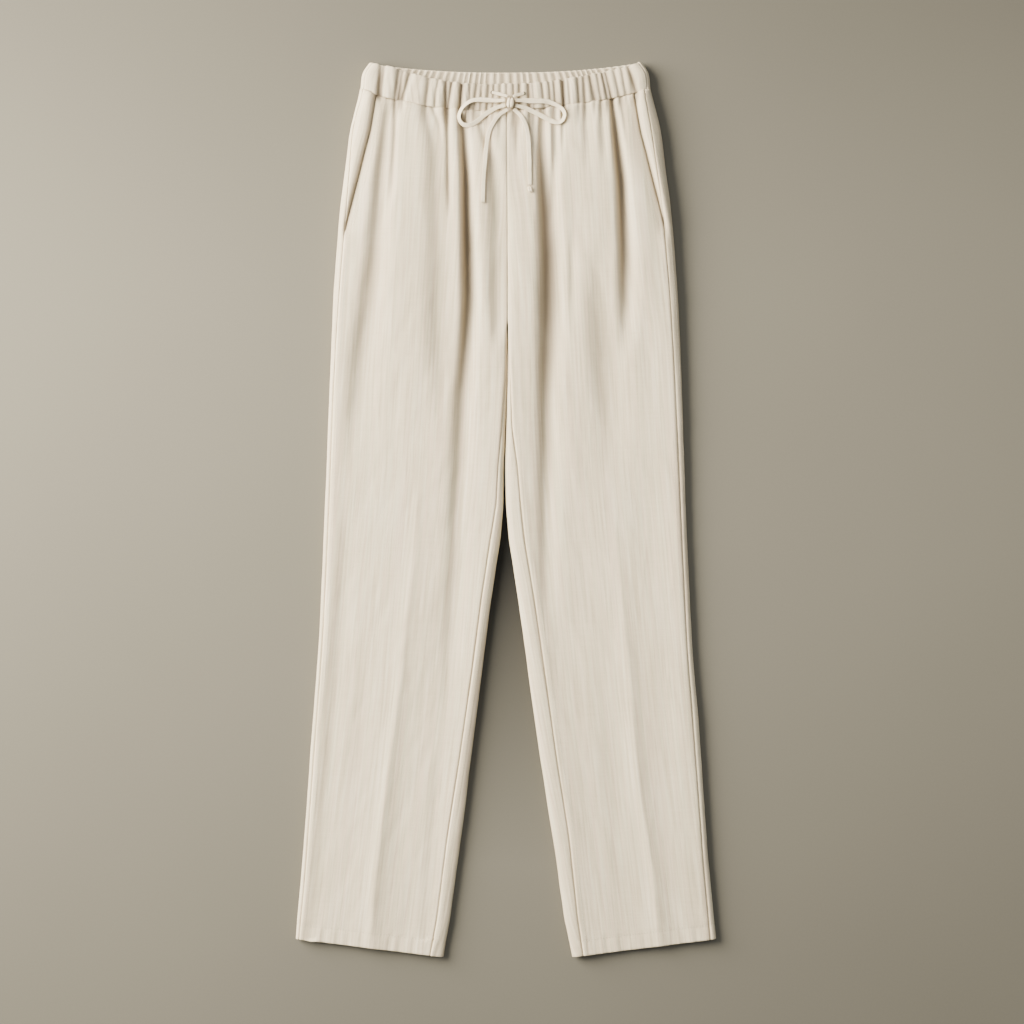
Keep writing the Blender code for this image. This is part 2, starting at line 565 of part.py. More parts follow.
def back_band(material, group):
    """The back of the waistband: plain below, gathered on the inside, rolled up at both ends."""
    shares = gather_shares(BACK_GATHERS, 3, -BACK_BAND_FLAT, BACK_BAND_FLAT)
    rows, walls = [], []
    for height_share in (0.0, 0.5, 1.0):
        outer = float(leg("outer", height_share * BAND_DEPTH))
        fold = float(leg("fold", height_share * BAND_DEPTH))
        flat = shares / BACK_BAND_FLAT * (outer - OUTER_ROLL - BACK_BAND_CLEAR)
        end_inset = (1 - END_SHARE) * outer - 2 * SEAM_GAP
        end_angle = math.acos(1 - end_inset / OUTER_ROLL)
        angles = np.linspace(-math.pi / 2, end_angle, BACK_BAND_TURNS)[1:]
        angles = np.append(angles, end_angle + BACK_BAND_PAST)
        roll_out = outer - OUTER_ROLL * (1 - np.cos(angles))
        roll_up = fold / 2 * (1 + np.sin(angles))
        across = np.concatenate((-roll_out[::-1], flat, roll_out))[::-1]
        height = np.concatenate((roll_up[::-1], np.zeros_like(flat), roll_up))[::-1]
        share = np.clip(across / outer, -1, 1)
        down = waist("back_top", share) * (1 - height_share) + (waist("back_seam", share) - SEAM_GAP) * height_share
        wave = BACK_GATHER_DEPTH - gathers(flat / outer, BACK_GATHERS, BACK_GATHER_DEPTH)
        wave = wave * ease((1 - np.abs(flat) / outer) * BACK_BAND_FADE)
        rows.append(place(across, down, height))
        walls.append(BAND_WALL + np.pad(wave, len(angles))[::-1])
    return cloth("waistband_back", rows, walls, material, False, group)


def top_height(across, down):
    """Height of whatever cloth lies uppermost at a place on the front."""
    side = -1 if across < inside("middle", down) else 1
    share = across / float(leg("outer", down))
    seam = float(waist("front_seam", share))
    if down < seam:
        outer = float(leg("outer", BAND_MIDDLE))
        waves = float(gathers(across / outer, FRONT_GATHERS, FRONT_GATHER_DEPTH))
        return float(leg("fold", BAND_MIDDLE)) + BAND_TOP_PUFF - BAND_TOP_GATHER * waves
    outer = float(leg("outer", down))
    bump, _ = front_height(side, np.array([across]), np.array([down]), outer, 0.0, 0.1)
    return float(leg("fold", down)) + float(bump[0])


def rest_height(across, down, reach=REST_REACH):
    """Height at which something lies on the cloth without sinking into its ridges."""
    offsets = (-reach, -reach / 2, 0.0, reach / 2, reach)
    return max(top_height(across + a, down + d) for a in offsets for d in offsets)


def tape(name, rows, material, group):
    """A stretch of the flat drawstring, on a smooth curve through its points."""
    steps = np.arange(len(rows), dtype=float)
    fine = np.linspace(0, len(rows) - 1, 2 * len(rows) - 1)
    across = curve_through(fine, steps, column(rows, TAPE_COLUMNS, "across"))
    down = curve_through(fine, steps, column(rows, TAPE_COLUMNS, "down"))
    above = curve_through(fine, steps, column(rows, TAPE_COLUMNS, "above"))
    turn = curve_through(fine, steps, column(rows, TAPE_COLUMNS, "turn"))
    share = curve_through(fine, steps, column(rows, TAPE_COLUMNS, "share"))
    rest = np.array([rest_height(a, d) for a, d in zip(across, down)])
    rest = np.convolve(np.pad(rest, 1, mode="edge"), (0.25, 0.5, 0.25), mode="valid")
    height = np.maximum(rest, [rest_height(a, d, REST_REACH / 2) for a, d in zip(across, down)])
    height = height + above + TAPE_THICKNESS / 2
    curve = bpy.data.curves.new(name, "CURVE")
    curve.dimensions = "3D"
    curve.twist_mode = "Z_UP"
    curve.extrude = (TAPE_WIDTH - TAPE_THICKNESS) / 2 * MM
    curve.bevel_depth = TAPE_THICKNESS / 2 * MM
    curve.bevel_resolution = 1
    curve.render_resolution_u = 0
    curve.use_fill_caps = True
    spline = curve.splines.new("POLY")
    spline.points.add(len(fine) - 1)
    for point, place_of, angle, width in zip(spline.points, place(across, down, height), turn, share):
        point.co = (*place_of, 1.0)
        point.tilt = math.radians(90 + angle)
        point.radius = width
    piece = bpy.data.objects.new(name, curve)
    piece.data.materials.append(material)
    group.objects.link(piece)
    return piece


def knot(name, spec, material, group):
    """A knot of the drawstring: a small firm bundle on the cloth."""
    width, length, depth = spec["size"]
    base = rest_height(spec["across"], spec["down"], length / 2) + KNOT_CLEAR
    bpy.ops.mesh.primitive_cube_add(size=1.0)
    piece = bpy.context.object
    piece.name = name
    piece.data.name = name
    across, upward, height = place([spec["across"]], [spec["down"]], [base + depth / 2])[0]
    for vert in piece.data.vertices:
        vert.co.x = across + vert.co.x * width * MM
        vert.co.y = upward + vert.co.y * length * MM
        vert.co.z = height + vert.co.z * depth * MM
    soft = piece.modifiers.new("soft edges", "BEVEL")
    soft.width = depth * KNOT_ROUNDING * MM
    soft.segments = 2
    piece.data.materials.append(material)
    for owner in list(piece.users_collection):
        owner.objects.unlink(piece)
    group.objects.link(piece)
    return piece


def build():
    for thing in list(bpy.data.objects):
        bpy.data.objects.remove(thing, do_unlink=True)
    group = bpy.data.collections.new("linen_trousers")
    bpy.context.scene.collection.children.link(group)
    front_linen = linen("front linen", (0.66, 0.61, 0.53), 0.9)
    back_linen = linen("back linen", (0.60, 0.55, 0.47), 0.9)
    band_linen = linen("band linen", (0.72, 0.68, 0.60), 0.9)
    tape_linen = linen("drawstring linen", (0.74, 0.70, 0.62), 0.85)
    for name, side in SIDES.items():
        front_panel(name, side, front_linen, group)
        back_panel(name, side, back_linen, group)
        pocket_facing(name, side, back_linen, group)
    front_band(band_linen, group)
    back_band(band_linen, group)
    for name, rows in TAPES.items():
        tape(name, rows, tape_linen, group)
    knot("drawstring_knot", KNOT, tape_linen, group)
    knot("drawstring_end_knot", TAPE_END_KNOT, tape_linen, group)


build()
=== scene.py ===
"""Looks of the linen trousers: cloth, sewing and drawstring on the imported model, lying as photographed."""
import math

import bmesh
import bpy
import numpy as np
from mathutils import Matrix, Vector


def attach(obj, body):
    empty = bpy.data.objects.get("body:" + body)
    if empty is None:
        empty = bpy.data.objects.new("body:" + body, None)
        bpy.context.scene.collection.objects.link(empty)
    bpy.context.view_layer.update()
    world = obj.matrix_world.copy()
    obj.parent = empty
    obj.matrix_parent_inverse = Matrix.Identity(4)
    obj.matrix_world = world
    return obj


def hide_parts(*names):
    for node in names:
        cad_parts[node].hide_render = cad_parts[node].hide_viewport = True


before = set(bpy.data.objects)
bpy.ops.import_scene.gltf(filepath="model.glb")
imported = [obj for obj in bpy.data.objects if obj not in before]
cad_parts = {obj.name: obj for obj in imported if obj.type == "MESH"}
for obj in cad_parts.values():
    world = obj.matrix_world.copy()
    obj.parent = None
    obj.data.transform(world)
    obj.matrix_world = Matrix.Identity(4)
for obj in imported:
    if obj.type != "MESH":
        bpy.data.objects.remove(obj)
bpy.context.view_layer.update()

# The surface that the trousers lie on, with its light and the camera straight above. The surface
# is smooth and warm grey. The light is broad and low, from the left and a little from the waist.
MM = 0.001
LENGTH = 1033.4
VIEW_CENTRE = (7.5, -2.6)
VIEW_WIDTH = 1179.6
VIEW_HEIGHT = 3000.0
VIEW_LEVEL = 12.0
SENSOR = 36.0
BOARD_COLOUR = (0.166, 0.150, 0.111)
LIGHTS = (
    ("window", (-1.9, 0.8, 1.15), (0.0, 0.0, 0.0), 2.1, 350.0, (1.0, 0.96, 0.88)),
    ("ceiling", (0.3, 0.4, 2.9), (0.0, 0.0, 0.0), 2.4, 30.0, (0.97, 0.985, 1.0)),
)
WORLD_COLOUR = (0.80, 0.86, 0.95)
WORLD_STRENGTH = 0.34


class Thread:
    """A socket among a material's nodes. Sums of threads and numbers add Math nodes."""

    def __init__(self, tree, socket):
        self.tree = tree
        self.socket = socket

    def node(self, kind, settings=None, inputs=None, output=0):
        """A new node: its settings first, a ramp's stops among them, then its sockets."""
        made = self.tree.nodes.new(kind)
        for name, value in (settings or {}).items():
            if name == "stops":
                ramp = made.color_ramp.elements
                while len(ramp) < len(value):
                    ramp.new(0.5)
                for stop, (position, colour) in zip(ramp, value):
                    stop.position = position
                    stop.color = (*colour, 1.0)
            else:
                setattr(made, name, value)
        for name, value in (inputs or {}).items():
            if isinstance(value, Thread):
                self.tree.links.new(value.socket, made.inputs[name])
            else:
                made.inputs[name].default_value = value
        return Thread(self.tree, made.outputs[output])

    def sum(self, operation, first, second=0.0):
        return self.node("ShaderNodeMath", {"operation": operation}, {0: first, 1: second})

    def __add__(self, other):
        return self.sum("ADD", self, other)

    def __radd__(self, other):
        return self.sum("ADD", other, self)

    def __sub__(self, other):
        return self.sum("SUBTRACT", self, other)

    def __rsub__(self, other):
        return self.sum("SUBTRACT", other, self)

    def __mul__(self, other):
        return self.sum("MULTIPLY", self, other)

    def __rmul__(self, other):
        return self.sum("MULTIPLY", other, self)

    def blend(self, first, second):
        """One colour into another, by this value."""
        return self.node("ShaderNodeMix", {"data_type": "RGBA"}, {0: self, 6: first, 7: second}, 2)


def finish_of(name, colour, roughness, sheen=0.0):
    """A new material with its surface shader, and the first thread of its nodes."""
    material = bpy.data.materials.new(name)
    material.use_nodes = True
    surface = material.node_tree.nodes["Principled BSDF"]
    surface.inputs["Base Color"].default_value = (*colour, 1.0)
    surface.inputs["Roughness"].default_value = roughness
    surface.inputs["Metallic"].default_value = 0.0
    surface.inputs["Specular IOR Level"].default_value = 0.25
    surface.inputs["Sheen Weight"].default_value = sheen
    surface.inputs["Sheen Roughness"].default_value = 0.6
    return material, surface, Thread(material.node_tree, None)


def board_finish():
    material, surface, start = finish_of("warm grey board", BOARD_COLOUR, 0.8)
    where = start.node("ShaderNodeTexCoord", output="Object")

    def fading(value, first, last, most):
        """A smooth rise from nought to the most while a value goes from one place to another."""
        return start.node("ShaderNodeMapRange", {"interpolation_type": "SMOOTHSTEP"},
                          {"Value": value, "From Min": first, "From Max": last, "To Min": 0.0, "To Max": most})

    cloud = start.node("ShaderNodeTexNoise", inputs={"Vector": where, "Scale": 1.6, "Detail": 3.0})
    grain = start.node("ShaderNodeTexNoise", inputs={"Vector": where, "Scale": 420.0, "Detail": 2.0})
    mottle = cloud * 0.7 + grain * 0.3
    darker = tuple(part * 0.94 for part in BOARD_COLOUR)
    lighter = tuple(part * 1.06 for part in BOARD_COLOUR)
    tone = start.node("ShaderNodeValToRGB", {"stops": ((0.3, darker), (0.7, lighter))}, {"Fac": mottle})
    height = start.node("ShaderNodeSeparateXYZ", inputs={"Vector": where}, output=1)
    # Painted shade: the surface's colour is darkened towards both ends of its length, by up to 24% on the hems'
    # side and 34% on the waist's side.
    lower = fading(height, 0.15, -0.75, 0.24)
    upper = fading(height, 0.2, 0.75, 0.34)
    # Painted shadow: a soft dark wedge on the surface between the legs, darkest where they part and fading out
    # towards the hems.
    aside = start.sum("ABSOLUTE", start.node("ShaderNodeSeparateXYZ", inputs={"Vector": where}, output=0))
    between = fading(aside, 0.13, 0.06, 1.0)
    painted_leg_shadow = start.node("ShaderNodeMapRange", inputs={"Value": height, "From Min": -0.41, "From Max": -0.06,
                                                    "To Min": 0.0, "To Max": 0.93})
    below = start.node("ShaderNodeMapRange", inputs={"Value": height, "From Min": 0.02, "From Max": 0.03,
                                                     "To Min": 1.0, "To Max": 0.0})
    # The painted shade and the painted shadow darken the surface's colour towards black.
    tone = (lower + upper).blend(tone, (0.0, 0.0, 0.0, 1.0))
    tone = (between * painted_leg_shadow * below).blend(tone, (0.0, 0.0, 0.0, 1.0))
    bump = start.node("ShaderNodeBump", inputs={"Height": grain, "Strength": 0.08, "Distance": 0.0004})
    start.tree.links.new(tone.socket, surface.inputs["Base Color"])
    start.tree.links.new(bump.socket, surface.inputs["Normal"])
    return material


def lay_board():
    bm = bmesh.new()
    bmesh.ops.create_grid(bm, x_segments=8, y_segments=8, size=6.0)
    mesh = bpy.data.meshes.new("board")
    bm.to_mesh(mesh)
    bm.free()
    board = bpy.data.objects.new("board", mesh)
    board.data.materials.append(board_finish())
    bpy.context.scene.collection.objects.link(board)


def hang_lights():
    for name, place, aim, size, power, colour in LIGHTS:
        light = bpy.data.lights.new(name, "AREA")
        light.shape = "DISK"
        light.size = size
        light.energy = power
        light.color = colour
        lamp = bpy.data.objects.new(name, light)
        lamp.location = place
        lamp.rotation_euler = (Vector(aim) - Vector(place)).to_track_quat("-Z", "Y").to_euler()
        bpy.context.scene.collection.objects.link(lamp)
    world = bpy.data.worlds.new("room")
    world.use_nodes = True
    air = world.node_tree.nodes["Background"]
    air.inputs["Color"].default_value = (*WORLD_COLOUR, 1.0)
    air.inputs["Strength"].default_value = WORLD_STRENGTH
    bpy.context.scene.world = world


def set_camera():
    lens = bpy.data.cameras.new("camera")
    lens.sensor_width = SENSOR
    lens.lens = SENSOR * (VIEW_HEIGHT - VIEW_LEVEL) / VIEW_WIDTH
    lens.dof.use_dof = False
    lens.clip_end = 100.0
    camera = bpy.data.objects.new("camera", lens)
    camera.location = (VIEW_CENTRE[0] * MM, VIEW_CENTRE[1] * MM, VIEW_HEIGHT * MM)
    bpy.context.scene.collection.objects.link(camera)
    bpy.context.scene.camera = camera


lay_board()
hang_lights()
set_camera()

# The linen: a plain weave of slubby flax yarn, unbleached to a pale oat colour, limp and matte.
# Every panel, facing and band is cut from it, and it takes fine crumples wherever it has been bent.
CLOTH = 0.8
YARN = 0.00072
OAT = (0.68, 0.558, 0.362)
OAT_DARK = (0.50, 0.41, 0.26)
OAT_PINK = (0.70, 0.53, 0.37)
OAT_GREEN = (0.64, 0.575, 0.37)
OAT_PALE = (0.80, 0.70, 0.50)
# The brown that the cloth's colour is darkened towards in its folds, creases and gathers: painted shade.
PAINTED_SHADE_BROWN = (0.16, 0.118, 0.073)


def linen_finish(name, pale=0.0):
    """Linen on the weave's own coordinates, in metres: across and along the yarns."""
    material, surface, start = finish_of(name, OAT, 0.92, 0.06)
    way = start.node("ShaderNodeUVMap", {"uv_map": "weave"})
    across = start.node("ShaderNodeSeparateXYZ", inputs={"Vector": way}, output=0)
    along = start.node("ShaderNodeSeparateXYZ", inputs={"Vector": way}, output=1)

    def speckle(per_metre_across, per_metre_along, detail=2.0, shift=0.0):
        spot = start.node("ShaderNodeCombineXYZ", inputs={0: across * per_metre_across + shift,
                                                          1: along * per_metre_along, 2: shift})
        return start.node("ShaderNodeTexNoise", inputs={"Vector": spot, "Scale": 1.0, "Detail": detail})

    slub = speckle(1300.0, 45.0)
    weft_slub = speckle(60.0, 1300.0, shift=7.0)
    streak = speckle(420.0, 9.0, shift=3.0)
    streak = start.node("ShaderNodeMapRange", inputs={"Value": streak, "From Min": 0.32, "From Max": 0.68})
    pick = speckle(22.0, 520.0, shift=17.0)
    tint = speckle(260.0, 3.0, shift=11.0)
    cloud = speckle(16.0, 9.0, 3.0, shift=5.0)
    turn = 2 * math.pi / YARN
    warp = start.sum("SINE", across * turn + slub * 5.0)
    weft = start.sum("SINE", along * turn + weft_slub * 5.0)
    weave = warp * weft * 0.5 + 0.5
    nap = weave * 0.45 + slub * 0.3 + weft_slub * 0.25
    base = start.node("ShaderNodeValToRGB", {"stops": ((0.28, OAT_DARK), (0.5, OAT), (0.75, OAT_PALE))},
                      {"Fac": nap * 0.35 + streak * 0.26 + pick * 0.14 + cloud * 0.25 + 0.02 + pale})
    pink = start.node("ShaderNodeMapRange", inputs={"Value": tint, "From Min": 0.5, "From Max": 0.72,
                                                    "To Min": 0.0, "To Max": 0.5})
    green = start.node("ShaderNodeMapRange", inputs={"Value": tint, "From Min": 0.5, "From Max": 0.28,
                                                     "To Min": 0.0, "To Max": 0.5})
    colour = green.blend(pink.blend(base, (*OAT_PINK, 1.0)), (*OAT_GREEN, 1.0))
    # Painted shade: the 'hollow' attribute darkens the cloth's colour towards a brown in folds, creases,
    # gathers and pocket slits.
    hollow = start.node("ShaderNodeAttribute", {"attribute_name": "hollow"}, output="Fac")
    colour = hollow.blend(colour, (*PAINTED_SHADE_BROWN, 1.0))
    bump = start.node("ShaderNodeBump", inputs={"Height": nap + streak * 0.5, "Strength": 0.7,
                                                "Distance": 0.00025})
    start.tree.links.new(colour.socket, surface.inputs["Base Color"])
    start.tree.links.new(bump.socket, surface.inputs["Normal"])
    rough = slub * 0.1 + 0.86
    start.tree.links.new(rough.socket, surface.inputs["Roughness"])
    return material


def ease(value):
    """A step from nought to one that starts and ends gently."""
    value = np.clip(value, 0, 1)
    return value * value * (3 - 2 * value)


def ripple(seed, first, second, first_size, second_size):
    """Smooth uneven waves between -1 and 1, of about the given sizes in two directions."""
    lattice = np.random.default_rng(seed).uniform(-1, 1, (64, 64))
    first = first / first_size + 20
    second = second / second_size + 20
    cell, line = np.floor(first).astype(int), np.floor(second).astype(int)
    part, rise = ease(first - cell), ease(second - line)

    def along(line):
        return lattice[cell % 64, line % 64] * (1 - part) + lattice[(cell + 1) % 64, line % 64] * part

    return along(line) * (1 - rise) + along(line + 1) * rise


def crumple(seed, across, along, size=1.0):
    """The fine relief of worn linen in millimetres: long soft waves and short sharp creases."""
    soft = 0.55 * ripple(seed, across, along, 19 * size, 110 * size)
    soft += 0.22 * ripple(seed + 1, across + 0.3 * along, along, 9 * size, 34 * size)
    sharp = 0.5 - np.abs(ripple(seed + 2, across - 0.15 * along, along, 12 * size, 60 * size))
    sharp = 0.3 * np.clip(sharp, 0, 1)
    small = 0.05 * ripple(seed + 3, across, along, 3.6 * size, 9 * size)
    return soft + sharp + small


def normals_of(points):
    """Outward normals of a grid of points whose rows run down and columns to the right."""
    right = np.gradient(points, axis=1)
    downward = np.gradient(points, axis=0)
    normal = np.cross(downward, right)
    return normal / np.maximum(np.linalg.norm(normal, axis=2, keepdims=True), 1e-9)


def placed(name, mesh, material):
    """A piece in the scene that goes with the trousers."""
    mesh.materials.append(material)
    piece = bpy.data.objects.new(name, mesh)
    bpy.context.scene.collection.objects.link(piece)
    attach(piece, "root")
    return piece


def woven(name, points, ways, material, wall=CLOTH, painted_shade=None):
    """A piece of cloth: a grid moved on to its points, with its weave's coordinates and a wall."""
    rows, columns = points.shape[:2]
    bm = bmesh.new()
    bmesh.ops.create_grid(bm, x_segments=columns - 1, y_segments=rows - 1, size=1.0)
    mesh = bpy.data.meshes.new(name)
    bm.to_mesh(mesh)
    bm.free()
    flat = np.zeros(len(mesh.vertices) * 3)
    mesh.vertices.foreach_get("co", flat)
    flat = flat.reshape(-1, 3)
    column = np.rint((flat[:, 0] + 1) / 2 * (columns - 1)).astype(int)
    row = np.rint((1 - flat[:, 1]) / 2 * (rows - 1)).astype(int)
    mesh.vertices.foreach_set("co", points[row, column].ravel())
    corner = np.zeros(len(mesh.loops), dtype=np.int32)
    mesh.loops.foreach_get("vertex_index", corner)
    weave = mesh.uv_layers.new(name="weave")
    weave.data.foreach_set("uv", ways[row, column][corner].ravel())
    # The 'hollow' attribute holds the painted shade of the cloth's colour, nought where none is given.
    shade = mesh.attributes.new("hollow", "FLOAT", "POINT")
    if painted_shade is not None:
        shade.data.foreach_set("value", painted_shade[row, column].ravel())
    mesh.update()
    mesh.shade_smooth()
    piece = placed(name, mesh, material)
    if wall:
        shell = piece.modifiers.new("cloth", "SOLIDIFY")
        shell.thickness = wall * MM
        shell.offset = -1.0
    return piece


def area_of(points):
    """The area of a grid of points."""
    right = points[1:, 1:] - points[:-1, :-1]
    left = points[1:, :-1] - points[:-1, 1:]
    return float(np.linalg.norm(np.cross(right, left), axis=2).sum() / 2)


panel_linen = linen_finish("oat linen")

# The leg panels: two fronts, and two backs that roll round both folded edges of the legs and meet
# the fronts on top. Each is cut in one length from waist seam to hem and joined by felled seams.
SIDES = {"right": -1, "left": 1}
LEG_COLUMNS = ("down", "outer", "fold", "crown", "side_right", "side_left")
LEG = (
    (0, 157.5, 16.0, 16.5, 3.0, 5.0),
    (8, 163.0, 17.0, 17.0, 3.0, 5.0),
    (32, 167.5, 18.0, 18.0, 3.0, 7.0),
    (80, 179.1, 19.0, 20.0, 3.0, 10.5),
    (114, 183.7, 19.0, 20.5, 4.5, 10.5),
    (160, 189.5, 19.0, 20.5, 7.0, 10.0),
    (229, 195.8, 18.0, 19.5, 7.2, 9.5),
    (310, 200.4, 16.5, 16.5, 5.6, 8.0),
    (390, 203.3, 15.0, 13.5, 4.5, 6.8),
    (483, 206.8, 13.5, 12.0, 4.5, 6.0),
    (575, 210.8, 13.0, 11.0, 4.5, 6.0),
    (667, 215.4, 12.5, 10.5, 4.5, 6.0),
    (759, 222.3, 12.5, 10.5, 4.5, 6.0),
    (851, 229.2, 12.0, 10.0, 4.5, 6.0),
    (943, 236.2, 11.5, 10.0, 4.5, 6.0),
    (1012, 242.8, 10.5, 9.0, 4.5, 6.0),
)
INSIDE_COLUMNS = ("down", "middle", "gap", "roll", "inseam_right", "inseam_left")
INSIDE = (
    (58, 1.7, 0.0, 0.1, 0.0, 0.0),
    (300, 2.2, 0.0, 0.3, 0.0, 0.0),
    (327, 2.3, 0.2, 3.0, 0.0, 0.0),
    (364, 2.2, 0.6, 5.0, 1.2, 2.5),
    (424, 0.2, 0.8, 7.0, 3.5, 7.0),
    (465, -1.6, 0.9, 8.0, 5.5, 14.5),
    (512, -1.1, 1.4, 9.0, 8.0, 17.5),
    (552, -1.1, 5.2, 10.0, 11.0, 18.0),
    (621, -1.1, 15.6, 11.0, 11.0, 19.0),
    (713, -0.5, 27.6, 11.0, 11.5, 19.5),
    (805, 0.5, 40.3, 11.0, 13.0, 18.5),
    (897, 2.0, 53.6, 11.0, 15.5, 18.0),
    (990, 2.3, 66.2, 11.0, 15.0, 15.0),
    (1034, 2.9, 74.9, 11.0, 15.0, 12.5),
)
WAIST_COLUMNS = ("share", "back_top", "front_top", "front_seam", "back_seam")
WAIST = (
    (-1.00, 0.6, 0.8, 32.3, 32.3),
    (-0.87, 3.9, 4.5, 40.5, 36.5),
    (-0.67, 7.3, 13.8, 48.0, 40.0),
    (-0.48, 9.6, 20.5, 53.8, 42.5),
    (-0.31, 10.9, 23.8, 56.0, 44.0),
    (0.00, 11.5, 24.8, 58.4, 44.5),
    (0.35, 10.4, 21.2, 52.5, 43.5),
    (0.62, 7.6, 13.8, 46.8, 40.5),
    (0.83, 3.9, 7.3, 40.0, 37.0),
    (1.00, 0.0, 0.2, 32.3, 32.3),
)
POCKET_COLUMNS = ("down", "mouth")
POCKET = ((32, 147.0), (80, 154.9), (102, 160.7), (137, 169.2), (168, 177.4), (197, 184.5))
POCKET_END = 197

# The folds of the front: soft troughs, each with its depth and half width on the way
# down. A depth below nought is a ridge, as the pressed creases of the legs are.
FOLD_COLUMNS = ("down", "across", "depth", "half_width")
FOLDS = {
    "pocket_right": ((50, -135, 3.5, 6), (137, -145, 6.0, 8), (218, -150, 6.5, 11), (275, -157, 6.0, 13),
                     (333, -166, 5.5, 14), (400, -172, 3.5, 15), (480, -180, 0.0, 15)),
    "hip_right": ((50, -92, 3.0, 9), (102, -80, 4.5, 12), (160, -78, 5.0, 15), (250, -78, 5.5, 18),
                  (333, -75, 5.0, 17), (390, -72, 2.0, 16), (450, -70, 0.0, 16)),
    "thigh_right": ((45, -51, 7.0, 4.5), (137, -46, 13.0, 6), (218, -44, 15.0, 7.5), (275, -43, 13.0, 8),
                    (333, -46, 9.5, 8.5), (390, -51, 7.0, 9.5), (506, -56, 5.0, 11), (575, -58, 4.0, 11),
                    (667, -64, 3.0, 11), (759, -68, 0.0, 11)),
    "by_the_bow_right": ((60, -33, 2.5, 5), (110, -17, 3.5, 7), (170, -9, 5.0, 11), (250, -9, 5.0, 12),
                         (300, -9, 3.5, 10), (330, -11, 0.0, 8)),
    "under_the_bow": ((60, 33, 3.0, 5), (100, 33, 1.5, 5), (120, 34, 0.0, 5)),
    "thigh_left": ((60, 42, 5.0, 5), (108, 42, 7.0, 6), (165, 46, 11.0, 9), (218, 49, 13.0, 11.5),
                   (275, 49, 13.5, 12), (333, 48, 11.0, 11.5), (390, 46, 8.0, 10), (506, 46, 5.0, 10),
                   (575, 47, 3.0, 10), (667, 48, 0.0, 10)),
    "thigh_left_second": ((60, 56, 3.0, 4), (108, 57, 4.0, 5), (150, 55, 3.0, 5), (190, 52, 0.0, 5)),
    "small_left": ((190, 76, 0.0, 5), (225, 76, 2.0, 5), (270, 77, 2.0, 5), (310, 77, 0.0, 5)),
    "hip_left": ((50, 93, 2.5, 6), (90, 94, 2.0, 6), (130, 95, 0.0, 6)),
    "hip_left_outer": ((45, 110, 3.0, 5), (85, 112, 2.5, 5), (130, 114, 0.0, 5)),
    "pocket_left": ((42, 122, 7.0, 3.5), (80, 126, 10.0, 4.5), (137, 133, 12.0, 6), (218, 137, 10.0, 8),
                    (275, 138, 7.0, 9), (340, 138, 0.0, 9)),
    "flank_left": ((200, 104, 0.0, 12), (275, 108, 3.5, 15), (333, 114, 5.0, 17), (400, 118, 4.0, 18),
                   (500, 122, 0.0, 18)),
    "outer_dip_right": ((430, -182, 0.0, 9), (560, -185, 1.8, 10), (800, -203, 1.8, 10), (1000, -222, 1.2, 9)),
    "inner_valley_right": ((760, -70, 0.0, 9), (850, -80, 1.5, 9), (1000, -92, 1.2, 9)),
    "middle_dip_left": ((650, 112, 0.0, 14), (800, 122, 1.5, 15), (960, 132, 1.5, 15), (1020, 136, 0.8, 15)),
}

# Lines where the cloth bends sharply: thin slits between gathers, the centre seam, and the
# creases pressed into the legs.
CREASES = {
    "beside_pocket": ((40, -126, 2.6, 2.6), (95, -128, 3.2, 2.6), (137, -131, 2.6, 3.0), (175, -133, 0.0, 3.0)),
    "slit_right": ((50, -67, 3.6, 2.0), (137, -66, 4.0, 2.2), (165, -65, 3.0, 2.2), (182, -65, 0.0, 2.0)),
    "short_right": ((44, -90, 2.2, 2.4), (62, -79, 3.0, 2.4), (85, -74, 1.2, 3.0), (110, -72, 0.0, 3.0)),
    "centre_seam": ((60, 1.7, 0.5, 2.2), (300, 2.2, 0.9, 2.2), (327, 2.3, 1.6, 3.0), (345, 2.3, 0.0, 4.0)),
    "by_the_bow_left": ((60, 13, 2.5, 2.6), (100, 13, 1.5, 2.6), (125, 13, 0.0, 3.0)),
    "slit_left": ((50, 66, 3.0, 2.0), (90, 66, 2.0, 2.2), (112, 66, 0.0, 2.2)),
    "second_left": ((45, 133, 3.0, 2.4), (62, 136, 2.4, 2.4), (95, 139, 0.0, 2.6)),
    "crease_right": ((440, -96, 0.0, 7), (560, -105, -1.6, 7), (717, -121.5, -2.8, 8), (822, -135.8, -3.4, 8),
                     (943, -150.6, -3.8, 8), (1030, -156.5, -3.2, 8)),
    "crease_left": ((500, 124, 0.0, 7), (621, 134.2, -1.6, 7), (711, 143.4, -2.4, 8), (833, 153.4, -3.0, 8),
                    (943, 171.4, -3.2, 8), (1020, 177.0, -2.8, 8)),
}
